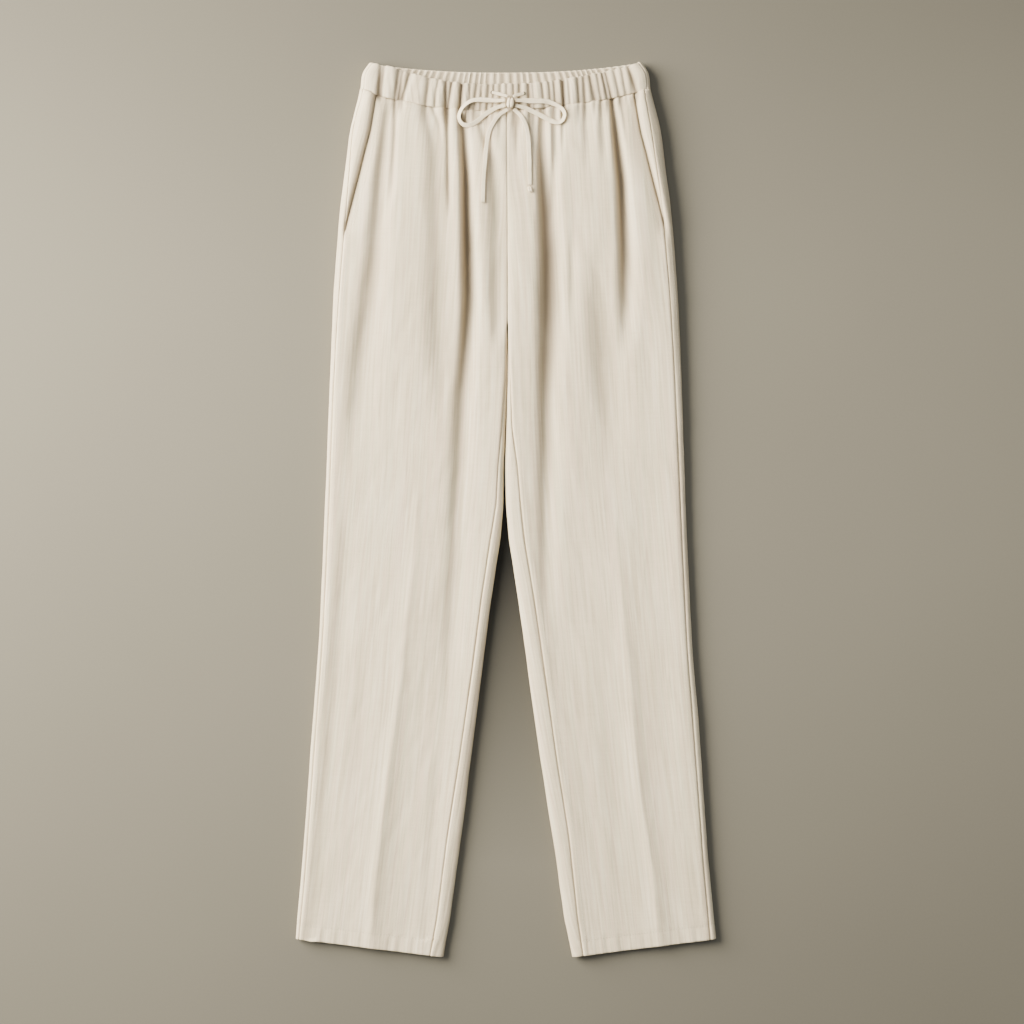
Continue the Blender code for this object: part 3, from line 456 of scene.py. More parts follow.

# The gathers' valleys at the waist seam: where each crosses the band's top and its
# seam, its depth, its half width, and how far it runs down into the panel.
GATHERS = (
    (-143.4, -146.0, 3.4, 2.2, 0), (-139.5, -143.2, 2.0, 2.0, 10), (-122.7, -127.3, 2.2, 2.2, 30),
    (-118.1, -122.7, 1.8, 2.0, 16), (-110.5, -119.0, 2.6, 2.2, 12), (-88.1, -91.6, 2.4, 3.0, 26),
    (-77.5, -81.5, 1.4, 2.0, 8), (-68.0, -69.1, 3.0, 2.0, 22), (-61.6, -66.0, 3.0, 2.0, 30),
    (-50.1, -52.4, 3.8, 2.2, 30), (-40.3, -42.0, 2.0, 2.4, 40), (-32.8, -36.3, 2.2, 2.4, 46),
    (-26.5, -29.0, 1.6, 2.2, 24), (-19.0, -21.3, 2.4, 2.2, 40), (-12.8, -14.4, 1.8, 2.0, 22),
    (-5.2, -6.3, 2.0, 2.2, 50), (1.7, 1.7, 1.6, 2.0, 10), (9.5, 10.0, 2.0, 2.0, 30),
    (16.5, 16.2, 2.2, 2.2, 34), (26.6, 27.8, 2.6, 2.2, 52), (31.5, 33.5, 1.6, 2.0, 26),
    (41.8, 45.0, 2.2, 2.4, 30), (50.1, 52.0, 1.8, 2.2, 26), (55.9, 57.7, 2.4, 2.2, 34),
    (66.0, 67.2, 3.4, 2.0, 20), (73.0, 74.0, 1.2, 2.2, 18), (83.1, 84.7, 2.4, 2.4, 24),
    (90.1, 92.0, 2.4, 2.4, 30), (97.1, 103.1, 2.6, 2.2, 18), (105.5, 110.5, 1.8, 2.2, 24),
    (111.2, 117.5, 2.6, 1.8, 20), (115.3, 122.5, 2.2, 2.0, 24), (125.0, 131.5, 1.8, 2.2, 30),
    (133.5, 139.4, 1.4, 2.0, 8), (142.0, 151.5, 3.2, 2.2, 14),
)

POCKET_SWELL = 1.6
POCKET_SWELL_AT = 9.0
POCKET_SWELL_HALF = 6.0
POCKET_HOLLOW = 2.6
POCKET_HOLLOW_OUT = 9.0
POCKET_HOLLOW_IN = 3.2
POCKET_SLIT_HALF = 1.8
POCKET_FADE = 26.0
GATHER_LIFT = 1.2
GATHER_LIFT_REACH = 60.0
# The painted shade of the cloth: how far its colour darkens at most, and the depths of fold, crease and gather
# that set how fast it darkens.
DARKEST = 0.93
FOLD_SHADE = 8.5
CREASE_SHADE = 3.2
GATHER_SHADE = 3.0
FELL_WIDTH = 8.5
FELL_HEIGHT = 0.28
FELL_STITCH_AT = 6.5
LEFT_WALL = 1.3
RIGHT_WALL = 0.85
CROTCH = 327
CROTCH_TURN_START = 296
HIP_LEVEL = 170
HEM_LEVEL = 1012
HEM_TILT = 21.0
TOP_SEAM = 32.3
TOP_LEVEL = 32.6
OUTER_ROLL = 12.0
CROWN_REACH = 30.0
SEAM_HALF = 0.05
WAIST_TUCK = 2.4
HEM_DEPTH = 18.0
TURN = 0.95
FLOOR_GAP = 0.05
GRAIN = ((0, 70.0), (470, 98.0), (717, 121.5), (1012, 156.0))


def column(table, names, name):
    """One named column of a table, as an array."""
    return np.array([row[names.index(name)] for row in table], dtype=float)


def curve_through(where, places, values):
    """A smooth curve through the values, read at any place; it is level past both ends."""
    slopes = np.gradient(values, places)
    where = np.clip(where, places[0], places[-1])
    index = np.clip(np.searchsorted(places, where, side="right") - 1, 0, len(places) - 2)
    span = places[index + 1] - places[index]
    step = (where - places[index]) / span
    start = (1 + 2 * step) * (1 - step) ** 2 * values[index] + step * (1 - step) ** 2 * span * slopes[index]
    end = step ** 2 * (3 - 2 * step) * values[index + 1] - step ** 2 * (1 - step) * span * slopes[index + 1]
    return start + end


def leg(name, down):
    return curve_through(down, column(LEG, LEG_COLUMNS, "down"), column(LEG, LEG_COLUMNS, name))


def waist(name, share):
    return curve_through(share, column(WAIST, WAIST_COLUMNS, "share"), column(WAIST, WAIST_COLUMNS, name))


def softened(down, places, values, spread=9.0):
    """Straight runs between the values, with their corners rounded."""
    offsets = np.linspace(-spread, spread, 7)
    return sum(np.interp(down + offset, places, values) for offset in offsets) / len(offsets)


def inside(name, down):
    return softened(down, column(INSIDE, INSIDE_COLUMNS, "down"), column(INSIDE, INSIDE_COLUMNS, name), 5.0)


def mouth(down):
    return softened(down, column(POCKET, POCKET_COLUMNS, "down"), column(POCKET, POCKET_COLUMNS, "mouth"))


def troughs(table, across, down, sharp):
    """The summed depth of listed folds, soft ones or sharp ones."""
    total = np.zeros(np.broadcast(across, down).shape)
    for rows in table.values():
        places = column(rows, FOLD_COLUMNS, "down")
        middle, depth, half_width = (softened(down, places, column(rows, FOLD_COLUMNS, name), 12.0)
                                     for name in ("across", "depth", "half_width"))
        off = (across - middle) / half_width
        if sharp:
            shape = np.exp(0.35 - np.sqrt(off ** 2 + 0.12))
        else:
            shape = np.exp(-(off * np.where(off < 0, LEFT_WALL, RIGHT_WALL)) ** 2)
        total += depth * shape * np.where(down < places[-1] + 12, 1.0, 0.0)
    return total


def puckers(across, seam_share, below):
    """Depth of the waist's gathers: seam_share runs from the band's top to its seam."""
    total = np.zeros(np.broadcast(across, seam_share, below).shape)
    for top, seam, depth, half_width, reach in GATHERS:
        middle = top + (seam - top) * seam_share
        width = half_width * (1 + below / 60)
        fade = 1 - ease(below / (reach + 8.0))
        off = (across - middle) / width
        total += depth * fade * np.exp(0.35 - np.sqrt(off ** 2 + 0.12))
    return total


def row_tilt(row):
    """How much lower a row lies at the inner edge than at the outer one."""
    return HEM_TILT * ease((row - CROTCH) / (HEM_LEVEL - CROTCH))


def inner_edge(side, row):
    below = row + row_tilt(row)
    return side * inside("middle", below) + inside("gap", below)


def front_relief(across, down, out, outer, inner, roll_in):
    """Height of the front over its fold: crown, folds, creases, gathers and the pocket's edges."""
    edge = np.minimum(outer - OUTER_ROLL - out, np.where(down > CROTCH, out - inner - roll_in, 1e3))
    crown = (leg("crown", down) - leg("fold", down)) * ease(edge / CROWN_REACH)
    seam = waist("front_seam", np.clip(across / outer, -1, 1))
    below = np.maximum(down - seam, 0)
    soft, sharp = troughs(FOLDS, across, down, False), troughs(CREASES, across, down, True)
    drawn = puckers(across, 1.0, below)
    height = crown - soft - sharp - drawn + GATHER_LIFT * (1 - ease(below / GATHER_LIFT_REACH))
    height = height - WAIST_TUCK * np.exp(-(np.maximum(down - seam, -2.0) + 2.0) ** 2 / 7.0)
    off = mouth(down) - out
    at_pocket = ease((POCKET_END + 14 - down) / POCKET_FADE)
    hollow = np.exp(-(off / np.where(off > 0, POCKET_HOLLOW_OUT, POCKET_HOLLOW_IN)) ** 2)
    swell = np.exp(-((off + POCKET_SWELL_AT) / POCKET_SWELL_HALF) ** 2)
    # The slit is only painted shade along the pocket's mouth; it does not change the height.
    slit = at_pocket * np.exp(-(off / POCKET_SLIT_HALF) ** 2)
    height = height + at_pocket * (POCKET_SWELL * swell - POCKET_HOLLOW * hollow)
    # The second value is the painted shade of the cloth's colour in the folds, creases, gathers and the
    # pocket's slit.
    return height, shaded(soft, np.maximum(sharp, 0), drawn, slit)


def shaded(soft, sharp, drawn, slit):
    """How far the cloth's colour is darkened towards a brown in folds, creases, gathers and slits, from 0 to 1:
    painted shade.
    """
    lost = (soft / FOLD_SHADE) ** 2 + (sharp / CREASE_SHADE) ** 2 + (drawn / GATHER_SHADE) ** 2 + slit
    return DARKEST * (1 - np.exp(-lost))


def lie(side, row, station):
    """Points on the flattened tube of one leg, by level and by station round it, in millimetres.

    Stations run from the outer edge (0) over the front (1 to 2) to the inner edge (3), back
    along the floor (4 to 5) to the outer edge (6) and up on to the front again (7).
    """
    tilt = row_tilt(row)
    outer, fold = leg("outer", row), leg("fold", row)
    roll_in = inside("roll", row + tilt)
    inner = inner_edge(side, row)
    upper = (station <= 3) | (station > 6)
    turned = np.where(station > 6, station - 6, station)
    outer_angle = np.clip(np.where(upper, turned, 6 - turned), 0, 1) * math.pi / 2
    inner_angle = np.clip(np.abs(3 - turned), 0, 1) * math.pi / 2
    outer_place = outer - OUTER_ROLL * (1 - np.cos(outer_angle))
    inner_place = inner + roll_in * (1 - np.cos(inner_angle))
    way = np.clip(np.where(upper, turned - 1, 5 - turned), 0, 1)
    out = outer_place * (1 - way) + inner_place * way
    rise = np.where(way <= 0, np.sin(outer_angle), np.where(way >= 1, np.sin(inner_angle), 1.0))
    height = fold / 2 * (1 + np.where(upper, rise, -rise))
    across = side * out
    share = np.clip(across / outer, -1, 1)
    seam = np.where(upper, waist("front_seam", share), waist("back_seam", share))
    lowered = (seam - TOP_SEAM) * (1 - ease((row - TOP_LEVEL) / (HIP_LEVEL - TOP_LEVEL)))
    down = row + lowered + tilt * np.clip((outer - out) / (outer - inner), 0, 1)
    bump, hollow = front_relief(across, down, out, outer, inner, roll_in)
    height = height + np.where(upper, rise * bump, 0)
    points = np.stack(np.broadcast_arrays(across, LENGTH / 2 - down, height), axis=-1)
    # The third value is the painted shade of the cloth's colour, on the upper layer only.
    return points, down, np.where(upper, rise * hollow, 0)


def side_station(name, row):
    return np.arccos(1 - leg("side_" + name, row) / OUTER_ROLL) / (math.pi / 2)


def crotch_turn(row):
    """Share of the way down that the centre seams have gone round the crotch."""
    return ease((row - CROTCH_TURN_START) / (CROTCH - CROTCH_TURN_START))


def inseam_station(name, side, row):
    """Station of the front's inner end: the centre seam, then the inseam below the crotch."""
    below = row + row_tilt(row)
    inset, roll_in = inside("inseam_" + name, below), inside("roll", below)
    flat = leg("outer", row) - OUTER_ROLL - inner_edge(side, row) - roll_in
    rolled = 3 - np.arccos(np.clip(1 - inset / roll_in, -1, 1)) / (math.pi / 2)
    station = np.where(inset < roll_in, rolled, 2 - (inset - roll_in) / flat)
    return np.where(row <= CROTCH, 2 + crotch_turn(row), station)


def station_out(side, row, out):
    """Station on the front of a place measured outwards from the middle, for each level."""
    dense = np.linspace(0.02, 2.999, 900)
    points, _, _ = lie(side, row, np.broadcast_to(dense, (len(row), len(dense))))
    found = [np.interp(-wanted, -side * line, dense) for wanted, line in zip(out.ravel(), points[..., 0])]
    return np.array(found)[:, None]


SEAM_STEPS = np.array([0.0, 0.45, 0.95])


def even_stations(side, row, first, last, count, first_gap=SEAM_HALF, last_gap=SEAM_HALF, floor=1.0):
    """Stations at even steps along the cloth from one seam to the next, and their way along it."""
    share = np.linspace(0, 1, 1000)
    dense = first + (last - first) * share
    points, _, _ = lie(side, row, dense)
    steps = np.linalg.norm(np.diff(points[..., (0, 2)], axis=1), axis=2)
    middle = (dense[:, 1:] + dense[:, :-1]) / 2
    steps = steps * np.where((middle > 4) & (middle < 5), floor, 1.0)
    way = np.concatenate((np.zeros((len(row), 1)), np.cumsum(steps, axis=1)), axis=1)
    stations = []
    for line, places in zip(way, dense):
        even = np.linspace(first_gap + 1.5, line[-1] - last_gap - 1.5, count - 6)
        even = np.concatenate((first_gap + SEAM_STEPS, even, line[-1] - last_gap - SEAM_STEPS[::-1]))
        stations.append(np.interp(even, line, places))
    return np.array(stations)


def seam_edges(points):
    """Distance of each point of a grid from its left and right edges, along the cloth."""
    steps = np.linalg.norm(np.diff(points, axis=1), axis=2)
    way = np.concatenate((np.zeros((len(points), 1)), np.cumsum(steps, axis=1)), axis=1)
    return way, way[:, -1:] - way


def sewn_relief(seed, from_seam, down, felled, edge_depth=0.9):
    """Seam relief in millimetres: the rolled edge, the felled ridge, its stitch line and puckers."""
    edge = -edge_depth * np.exp(-(from_seam / 0.9) ** 2)
    ridge = FELL_HEIGHT * felled * ease(from_seam / 1.5) * ease((FELL_WIDTH - from_seam) / 2)
    line = -0.22 * felled * np.exp(-((from_seam - FELL_STITCH_AT) / 0.7) ** 2)
    drawn = 0.16 * ripple(seed, down, from_seam * 0.3, 4.6, 5.0) * np.exp(-(from_seam / 9.0) ** 2)
    return edge + ridge + line + drawn


def turn_up(points, ways, hollow):
    """The panel with its hem: its lower edge turned round a small roll and up inside."""
    normal = normals_of(points)
    lowest, beyond = points[-1], points[-1] - points[-2]
    beyond = beyond / np.linalg.norm(beyond, axis=1, keepdims=True)
    grown, grown_ways = [points], [ways]
    for angle in np.linspace(0, math.pi, 6)[1:]:
        out, back = TURN * math.sin(angle), TURN * (1 - math.cos(angle))
        grown.append((lowest + beyond * out - normal[-1] * back)[None])
        way = ways[-1].copy()
        way[:, 1] -= TURN * angle * MM
        grown_ways.append(way[None])
    height = points[-1, 0, 1]
    levels = points[:, 0, 1] - height
    for wanted in np.linspace(2.0, HEM_DEPTH, 6):
        index = int(np.argmin(np.abs(levels - wanted)))
        grown.append((points[index] - normal[index] * 2 * TURN)[None])
        way = ways[-1].copy()
        way[:, 1] -= (wanted + TURN * math.pi) * MM
        grown_ways.append(way[None])
    extra = np.repeat(hollow[-1:], len(grown) - 1, axis=0)
    return np.concatenate(grown), np.concatenate(grown_ways), np.concatenate((hollow, extra))


def grain_way(side, points, down):
    """Distance across the weave from the straight grain, which runs down the pressed crease."""
    way, _ = seam_edges(points)
    places, middles = zip(*GRAIN)
    grain = side * np.interp(down[:, :1], places, middles)
    start = [np.interp(middle, line, distance) if line[-1] > line[0] else
             np.interp(-middle, -line, distance)
             for middle, line, distance in zip(grain.ravel(), points[..., 0], way)]
    return way - np.array(start)[:, None]


FRONT_LEVELS = np.concatenate((np.arange(30.6, 110, 1.9), np.arange(110, 330, 2.9), np.arange(330, 985, 4.3),
                               np.linspace(986, HEM_LEVEL - TURN, 14)))[:, None]
BACK_LEVELS = np.concatenate((np.arange(31.0, 330, 3.6), np.arange(331, 985, 5.0),
                              np.linspace(986, HEM_LEVEL - TURN, 12)))[:, None]


def hem_relief(seed, across, out_of_hem):
    """Puckers drawn up by the hem's stitching, and the step over its turned edge."""
    drawn = 0.55 * ripple(seed, across, out_of_hem * 0.2, 5.5, 9.0) * ease((26 - out_of_hem) / 14)
    line = -0.3 * np.exp(-((out_of_hem - HEM_DEPTH + 1.5) / 0.8) ** 2)
    return drawn + line


def hemmed(panel, name, points, ways, hollow):
    """A panel's cloth with its hem, in place of its solid."""
    cloth, cloth_ways, cloth_hollow = turn_up(points, ways, hollow)
    piece = woven(panel + "_cloth_" + name, cloth * MM, cloth_ways, panel_linen, CLOTH, cloth_hollow)
    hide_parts(panel + "_" + name)
    return piece, points * MM


def mouth_station(side, row, beyond=0.0):
    """Station of the pocket mouth's edge, or of a place further in, for each level."""
    seam = waist("front_seam", np.array([[side * 0.9]]))
    lowered = (seam - TOP_SEAM) * (1 - ease((row - TOP_LEVEL) / (HIP_LEVEL - TOP_LEVEL)))
    return station_out(side, row, mouth(row + lowered) - beyond)


def front_panel(name, side):
    row = FRONT_LEVELS
    at_pocket = row < POCKET_END
    slant = mouth_station(side, row)
    blend = ease((row - POCKET_END + 6) / 12)
    first = np.where(at_pocket, slant, side_station(name, row) * blend + slant * (1 - blend))
    stations = even_stations(side, row, first, inseam_station(name, side, row), 132)
    points, down, hollow = lie(side, row, stations)
    ways = np.stack((grain_way(side, points, down) * MM, -down * MM), axis=-1)
    if side > 0:
        points, down, ways, hollow = (part[:, ::-1] for part in (points, down, ways, hollow))
    left, right = seam_edges(points)
    outer_off, inner_off = (left, right) if side < 0 else (right, left)
    seed = 40 if side < 0 else 60
    hold = ease(np.minimum(outer_off, inner_off) / 7.0)
    relief = crumple(seed, ways[..., 0] / MM, down) * hold
    leg_seam = ease((row - CROTCH - 20) / 30)
    relief += sewn_relief(seed + 5, inner_off, down, leg_seam, 0.3 + 0.6 * leg_seam)
    relief += sewn_relief(seed + 6, outer_off, down, 1.0)
    hem_off = (HEM_LEVEL - row) * np.ones_like(down)
    relief += hem_relief(seed + 7, ways[..., 0] / MM, hem_off)
    points = points + normals_of(points) * relief[..., None]
    return hemmed("front_panel", name, points, ways, hollow)


def back_panel(name, side):
    row = BACK_LEVELS
    first = np.where(row > CROTCH, inseam_station(name, side, row), 4 - crotch_turn(row))
    stations = even_stations(side, row, first, 6 + side_station(name, row), 116, floor=0.55)
    points, down, hollow = lie(side, row, stations)
    ways = np.stack((grain_way(side, points, down) * MM, -down * MM), axis=-1)
    if side > 0:
        points, down, ways, hollow = (part[:, ::-1] for part in (points, down, ways, hollow))
    left, right = seam_edges(points)
    inner_off, outer_off = (left, right) if side > 0 else (right, left)
    seed = 80 if side < 0 else 100
    under = stations if side < 0 else stations[:, ::-1]
    on_floor = ease((under - 3.85) / 0.25) * ease((5.15 - under) / 0.25)
    hold = ease(np.minimum(left, right) / 7.0)
    relief = crumple(seed, ways[..., 0] / MM, down) * hold
    leg_seam = ease((row - CROTCH - 20) / 30)
    relief += sewn_relief(seed + 5, inner_off, down, leg_seam, 0.3 + 0.6 * leg_seam)
    relief += sewn_relief(seed + 6, outer_off, down, 1.0)
    sunk = back_relief(points[..., 0], down)
    relief = relief * (1 - on_floor) - on_floor * np.maximum(sunk - 0.5 * relief, 0.0)
    hem_off = (HEM_LEVEL - row) * np.ones_like(down)
    relief += hem_relief(seed + 7, ways[..., 0] / MM, hem_off) * (1 - on_floor)
    points = points + normals_of(points) * relief[..., None]
    points[..., 2] = np.maximum(points[..., 2], FLOOR_GAP)
    return hemmed("back_panel", name, points, ways, hollow)


BACK_FOLDS = {
    "seat_right": ((60, -48, 1.6, 9), (200, -56, 2.6, 12), (330, -66, 1.5, 13), (470, -74, 0.0, 12)),
    "seat_left": ((70, 62, 1.8, 9), (180, 66, 2.4, 11), (300, 70, 1.2, 12), (420, 74, 0.0, 12)),
    "hip_right": ((50, -104, 1.4, 8), (150, -112, 2.0, 10), (260, -120, 0.0, 11)),
    "hip_left": ((55, 112, 1.5, 8), (130, 118, 1.8, 9), (240, 126, 0.0, 10)),
    "knee_right": ((480, -130, 0.0, 14), (560, -134, 1.6, 16), (640, -140, 0.0, 14)),
    "knee_left": ((520, 108, 0.0, 14), (600, 112, 1.4, 16), (690, 118, 0.0, 14)),
    "crease_right": ((360, -100, 0.0, 5), (600, -112, 1.2, 5), (1030, -156, 1.2, 5)),
    "crease_left": ((380, 104, 0.0, 5), (620, 132, 1.2, 5), (1030, 172, 1.2, 5)),
    "centre": ((45, 1.7, 0.9, 3), (290, 2.2, 0.9, 3), (315, 2.3, 0.0, 3)),
}


def back_relief(across, down):
    """How far the floor side of the cloth stands off the surface, at its own soft folds."""
    return troughs(BACK_FOLDS, across, down, False)


# The sewing of the leg panels: rows of pale linen thread beside the inseams, side seams and pocket
# mouths, and one row along each hem. Each row lies in the cloth that it draws together.
STITCH_PITCH = 3.4
STITCH_SHAPE = (2.5, 0.55, 0.4)
STITCH_RISE = 0.08
SEAM_ROW = 6.4
POCKET_ROWS = (5.2, 8.6)
thread_finish = finish_of("pale thread", (0.74, 0.66, 0.49), 0.8)[0]


def seam_line(points, off, from_left, first_row, last_row):
    """A line on a panel at one distance from its left or right edge, with its normals."""
    left, right = seam_edges(points)
    away = left if from_left else right[:, ::-1]
    cloth, normal = points / MM, normals_of(points)
    if not from_left:
        cloth, normal = cloth[:, ::-1], normal[:, ::-1]
    rows = range(first_row, last_row)
    line = [[np.interp(off, away[row] / MM, part) for part in cloth[row].T] for row in rows]
    facing = [[np.interp(off, away[row] / MM, part) for part in normal[row].T] for row in rows]
    return np.array(line), np.array(facing)


def level_line(points, rise, first_share, last_share):
    """A line across a panel at one height above its lowest row, with its normals."""
    cloth, normal = points / MM, normals_of(points)
    columns = range(int(first_share * (points.shape[1] - 1)), int(last_share * (points.shape[1] - 1)))
    line, facing = [], []
    for index in columns:
        wanted = cloth[-1, index, 1] + rise
        line.append([np.interp(-wanted, -cloth[:, index, 1], part) for part in cloth[:, index].T])
        facing.append([np.interp(-wanted, -cloth[:, index, 1], part) for part in normal[:, index].T])
    return np.array(line), np.array(facing)


def stitches(name, lines):
    """Runs of stitches along lines on the cloth, joined into one piece."""
    long, wide, thick = STITCH_SHAPE
    bm = bmesh.new()
    for line, facing in lines:
        way = np.concatenate(([0], np.cumsum(np.linalg.norm(np.diff(line, axis=0), axis=1))))
        for start in np.arange(0.8, way[-1] - long, STITCH_PITCH):
            ends = [np.array([np.interp(place, way, part) for part in line.T])
                    for place in (start, start + long)]
            up = Vector([float(np.interp(start, way, part)) for part in facing.T]).normalized()
            along = Vector((ends[1] - ends[0]).tolist()).normalized()
            aside = up.cross(along).normalized()
            middle = Vector(((ends[0] + ends[1]) / 2).tolist()) + up * STITCH_RISE
            middle.z = max(middle.z, FLOOR_GAP + thick / 2)
            place = Matrix([[along[axis] * long / 2, aside[axis] * wide / 2, up[axis] * thick / 2, middle[axis]]
                            for axis in range(3)] + [[0, 0, 0, 1]])
            bmesh.ops.create_icosphere(bm, subdivisions=1, radius=1.0, matrix=Matrix.Scale(MM, 4) @ place)
    mesh = bpy.data.meshes.new(name)
    bm.to_mesh(mesh)
    bm.free()
    mesh.shade_smooth()
    return placed(name, mesh, thread_finish)


def row_at(levels, row):
    return int(np.argmin(np.abs(levels - row)))


def sewing(name, side, place, points):
    """A panel's topstitching: beside its inseam, its side seam and its pocket, and along its hem."""
    front = place == "front"
    levels = FRONT_LEVELS if front else BACK_LEVELS
    inner_left = (side > 0) == front
    foot = len(levels) - 6
    lines = [seam_line(points, SEAM_ROW, inner_left, row_at(levels, CROTCH + 25), foot),
             seam_line(points, SEAM_ROW, not inner_left, row_at(levels, POCKET_END + 4), foot),
             level_line(points, HEM_DEPTH - 1.5, 0.0, 1.0)]
    if front:
        pocket = row_at(levels, POCKET_END - 4)
        lines += [seam_line(points, off, not inner_left, 8, pocket) for off in POCKET_ROWS]
    return stitches(place + "_panel_stitches_" + name, lines)


def cut_size(points):
    """The widest width, the length and the area of a piece of cloth laid out flat, in metres."""
    widths = np.linalg.norm(np.diff(points, axis=1), axis=2).sum(axis=1)
    lengths = np.linalg.norm(np.diff(points, axis=0), axis=2).sum(axis=0)
    return float(widths.max()), float(lengths.max()), area_of(points)


def declare_cut(piece, points, hem, rests_on, sewn):
    """Works out what a laid piece of cloth was cut to, with the hem that is turned up inside, and keeps none of
    it.
    """
    width, length, area = cut_size(points)
    bottom = float(np.linalg.norm(np.diff(points[-1], axis=0), axis=1).sum())
    length, area = length + hem, area + hem * bottom


made = {}
for name, side in SIDES.items():
    made["front_" + name] = front_panel(name, side)
    made["back_" + name] = back_panel(name, side)
    sewn_front = sewing(name, side, "front", made["front_" + name][1])
    sewn_back = sewing(name, side, "back", made["back_" + name][1])
    declare_cut(*made["back_" + name], HEM_DEPTH * MM, ["board"], [sewn_back])
    declare_cut(*made["front_" + name], HEM_DEPTH * MM, [made["back_" + name][0]], [sewn_front])

# The pocket facings: side pieces of the same linen that show in the slanted pocket mouths. Each is
# sewn into the side seam and the waist seam, and runs on under the front panel's folded mouth.
FACING_END = 208.0
FACING_UNDERLAP = 10.0
FACING_LEVELS = np.arange(30.6, FACING_END, 2.2)[:, None]


def pocket_facing(name, side):
    row = FACING_LEVELS
    under = mouth_station(side, row, FACING_UNDERLAP)
    stations = even_stations(side, row, side_station(name, row), under, 34, last_gap=0.0)
    points, down, hollow = lie(side, row, stations)
    off = mouth(down) - side * points[..., 0]
    points[..., 2] -= 2.3 * ease((off + 2.6) / 3.0)
    ways = np.stack((grain_way(side, points, down) * MM, -down * MM), axis=-1)
    if side > 0:
        points, down, ways, hollow = (part[:, ::-1] for part in (points, down, ways, hollow))
    left, right = seam_edges(points)
    outer_off = left if side < 0 else right
    seed = 120 if side < 0 else 140
    relief = 0.6 * crumple(seed, ways[..., 0] / MM, down) * ease(outer_off / 7.0)
    relief += sewn_relief(seed + 6, outer_off, down, 0.0)
    points = points + normals_of(points) * relief[..., None]
    piece = woven("pocket_facing_cloth_" + name, points * MM, ways, panel_linen, CLOTH, hollow)
    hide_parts("pocket_facing_" + name)
    return piece, points * MM


for name, side in SIDES.items():
    made["facing_" + name] = pocket_facing(name, side)
    declare_cut(*made["facing_" + name], 0.0, [made["back_" + name][0]], [])

# The waistband: a folded casing of linen over flat elastic, which draws it up in uneven gathers.
# The front and back casings are sewn together at the sides and to the panels along the waist seam.
BAND_DEPTH = 31.0
END_SHARE = 0.975
BAND_END_INSET = 6.0
BAND_END_SLOPE = 18.0
FRONT_CASING = 3.2
BACK_CASING = 2.3
RIB_COUNT = 42
RIB_DEPTH = 1.7
TOP_ROLL = 1.6
TOP_ROWS = 9
BAND_GATHERING = 1.3
BAND_PUFF = 2.6
BAND_RELIEF = 0.8
EYELET_RADIUS = 1.7
EYELET_LENGTHENING = 1.3
band_linen = linen_finish("band linen", 0.04)


def casing(outer, ways, hollow, thickness):
    """A folded casing: its outer face from the seam to the top, a rolled edge, and its inner face.

    The grid of the outer face has its top row first. The result runs from the inner face's seam
    over the top edge down the outer face.
    """
    normal = normals_of(outer)
    rise = outer[0] - outer[1]
    rise = rise / np.linalg.norm(rise, axis=1, keepdims=True)
    half = thickness / 2
    rows, row_ways, row_hollows = [], [], []
    deeper = ways[0, :, 1]
    for index in range(len(outer) - 1, -1, -max(1, len(outer) // 12)):
        rows.append(outer[index] - normal[index] * thickness[:, None])
        row_ways.append(np.stack((ways[index, :, 0], 2 * deeper - ways[index, :, 1]), axis=-1))
        row_hollows.append(hollow[1][index])
    middle = outer[0] - normal[0] * half[:, None]
    for angle in np.linspace(math.pi, 0, TOP_ROWS)[1:-1]:
        lift = TOP_ROLL * math.sin(angle)
        rows.append(middle + normal[0] * (half * math.cos(angle))[:, None] + rise * lift)
        row_ways.append(np.stack((ways[0, :, 0], deeper + half * math.sin(angle) * MM), axis=-1))
        # Over the rolled top edge the painted shade of both faces is averaged and halved.
        row_hollows.append((hollow[0][0] + hollow[1][0]) / 4)
    return tuple(np.concatenate((np.array(first), second)) for first, second in
                 ((rows, outer), (row_ways, ways), (row_hollows, hollow[0])))


def front_band():
    share = np.linspace(-END_SHARE, END_SHARE, 352)[None, :]
    level = np.linspace(0.0, 1.0, 22)[:, None]
    outer, fold = leg("outer", level * BAND_DEPTH), leg("fold", level * BAND_DEPTH)
    across = share * outer
    drawn = BAND_GATHERING * puckers(across, level, 0.0)
    drawn = drawn + 0.7 * np.abs(ripple(210, across - 4 * level, level * 0, 4.2, 1.0)) * (0.6 + 0.4 * level)
    down = waist("front_top", share) * (1 - level) + (waist("front_seam", share) - 0.1) * level
    down = down + TOP_ROLL * (1 - level) + 0.3 * drawn * (1 - level)
    inset = (1 - np.abs(share)) * outer
    rise = np.sqrt(1 - (1 - np.clip(inset / OUTER_ROLL, 0, 1)) ** 2)
    puff = BAND_PUFF * np.sin(math.pi * np.clip(level * 0.94 + 0.05, 0, 1)) ** 0.6 - 1.0
    away = ease((inset - BAND_END_INSET) / BAND_END_SLOPE)
    height = fold / 2 * (1 + rise) + away * (puff - drawn) + (1 - away) * 0.5 * puff
    points = np.stack(np.broadcast_arrays(across, LENGTH / 2 - down, height), axis=-1)
    steps = np.linalg.norm(np.diff(points[10], axis=0), axis=1)
    along = np.concatenate(([0], np.cumsum(steps))) * MM
    ways = np.stack((np.broadcast_to(along, down.shape), -down * MM), axis=-1)
    relief = BAND_RELIEF * crumple(160, along[None, :] / MM, down, 0.6) * ease(inset / 8)
    points = points + normals_of(points) * relief[..., None]
    # Painted shade in the front casing's gathers, fading out towards its ends.
    hollow = away * shaded(0.0, 0.0, 1.1 * drawn, 0.0)
    thickness = np.full(points.shape[1], FRONT_CASING)
    points, ways, hollow = casing(points, ways, (hollow, hollow), thickness)
    piece = woven("waistband_front_casing", points * MM, ways, band_linen, CLOTH, hollow)
    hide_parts("waistband_front")
    return piece, points * MM


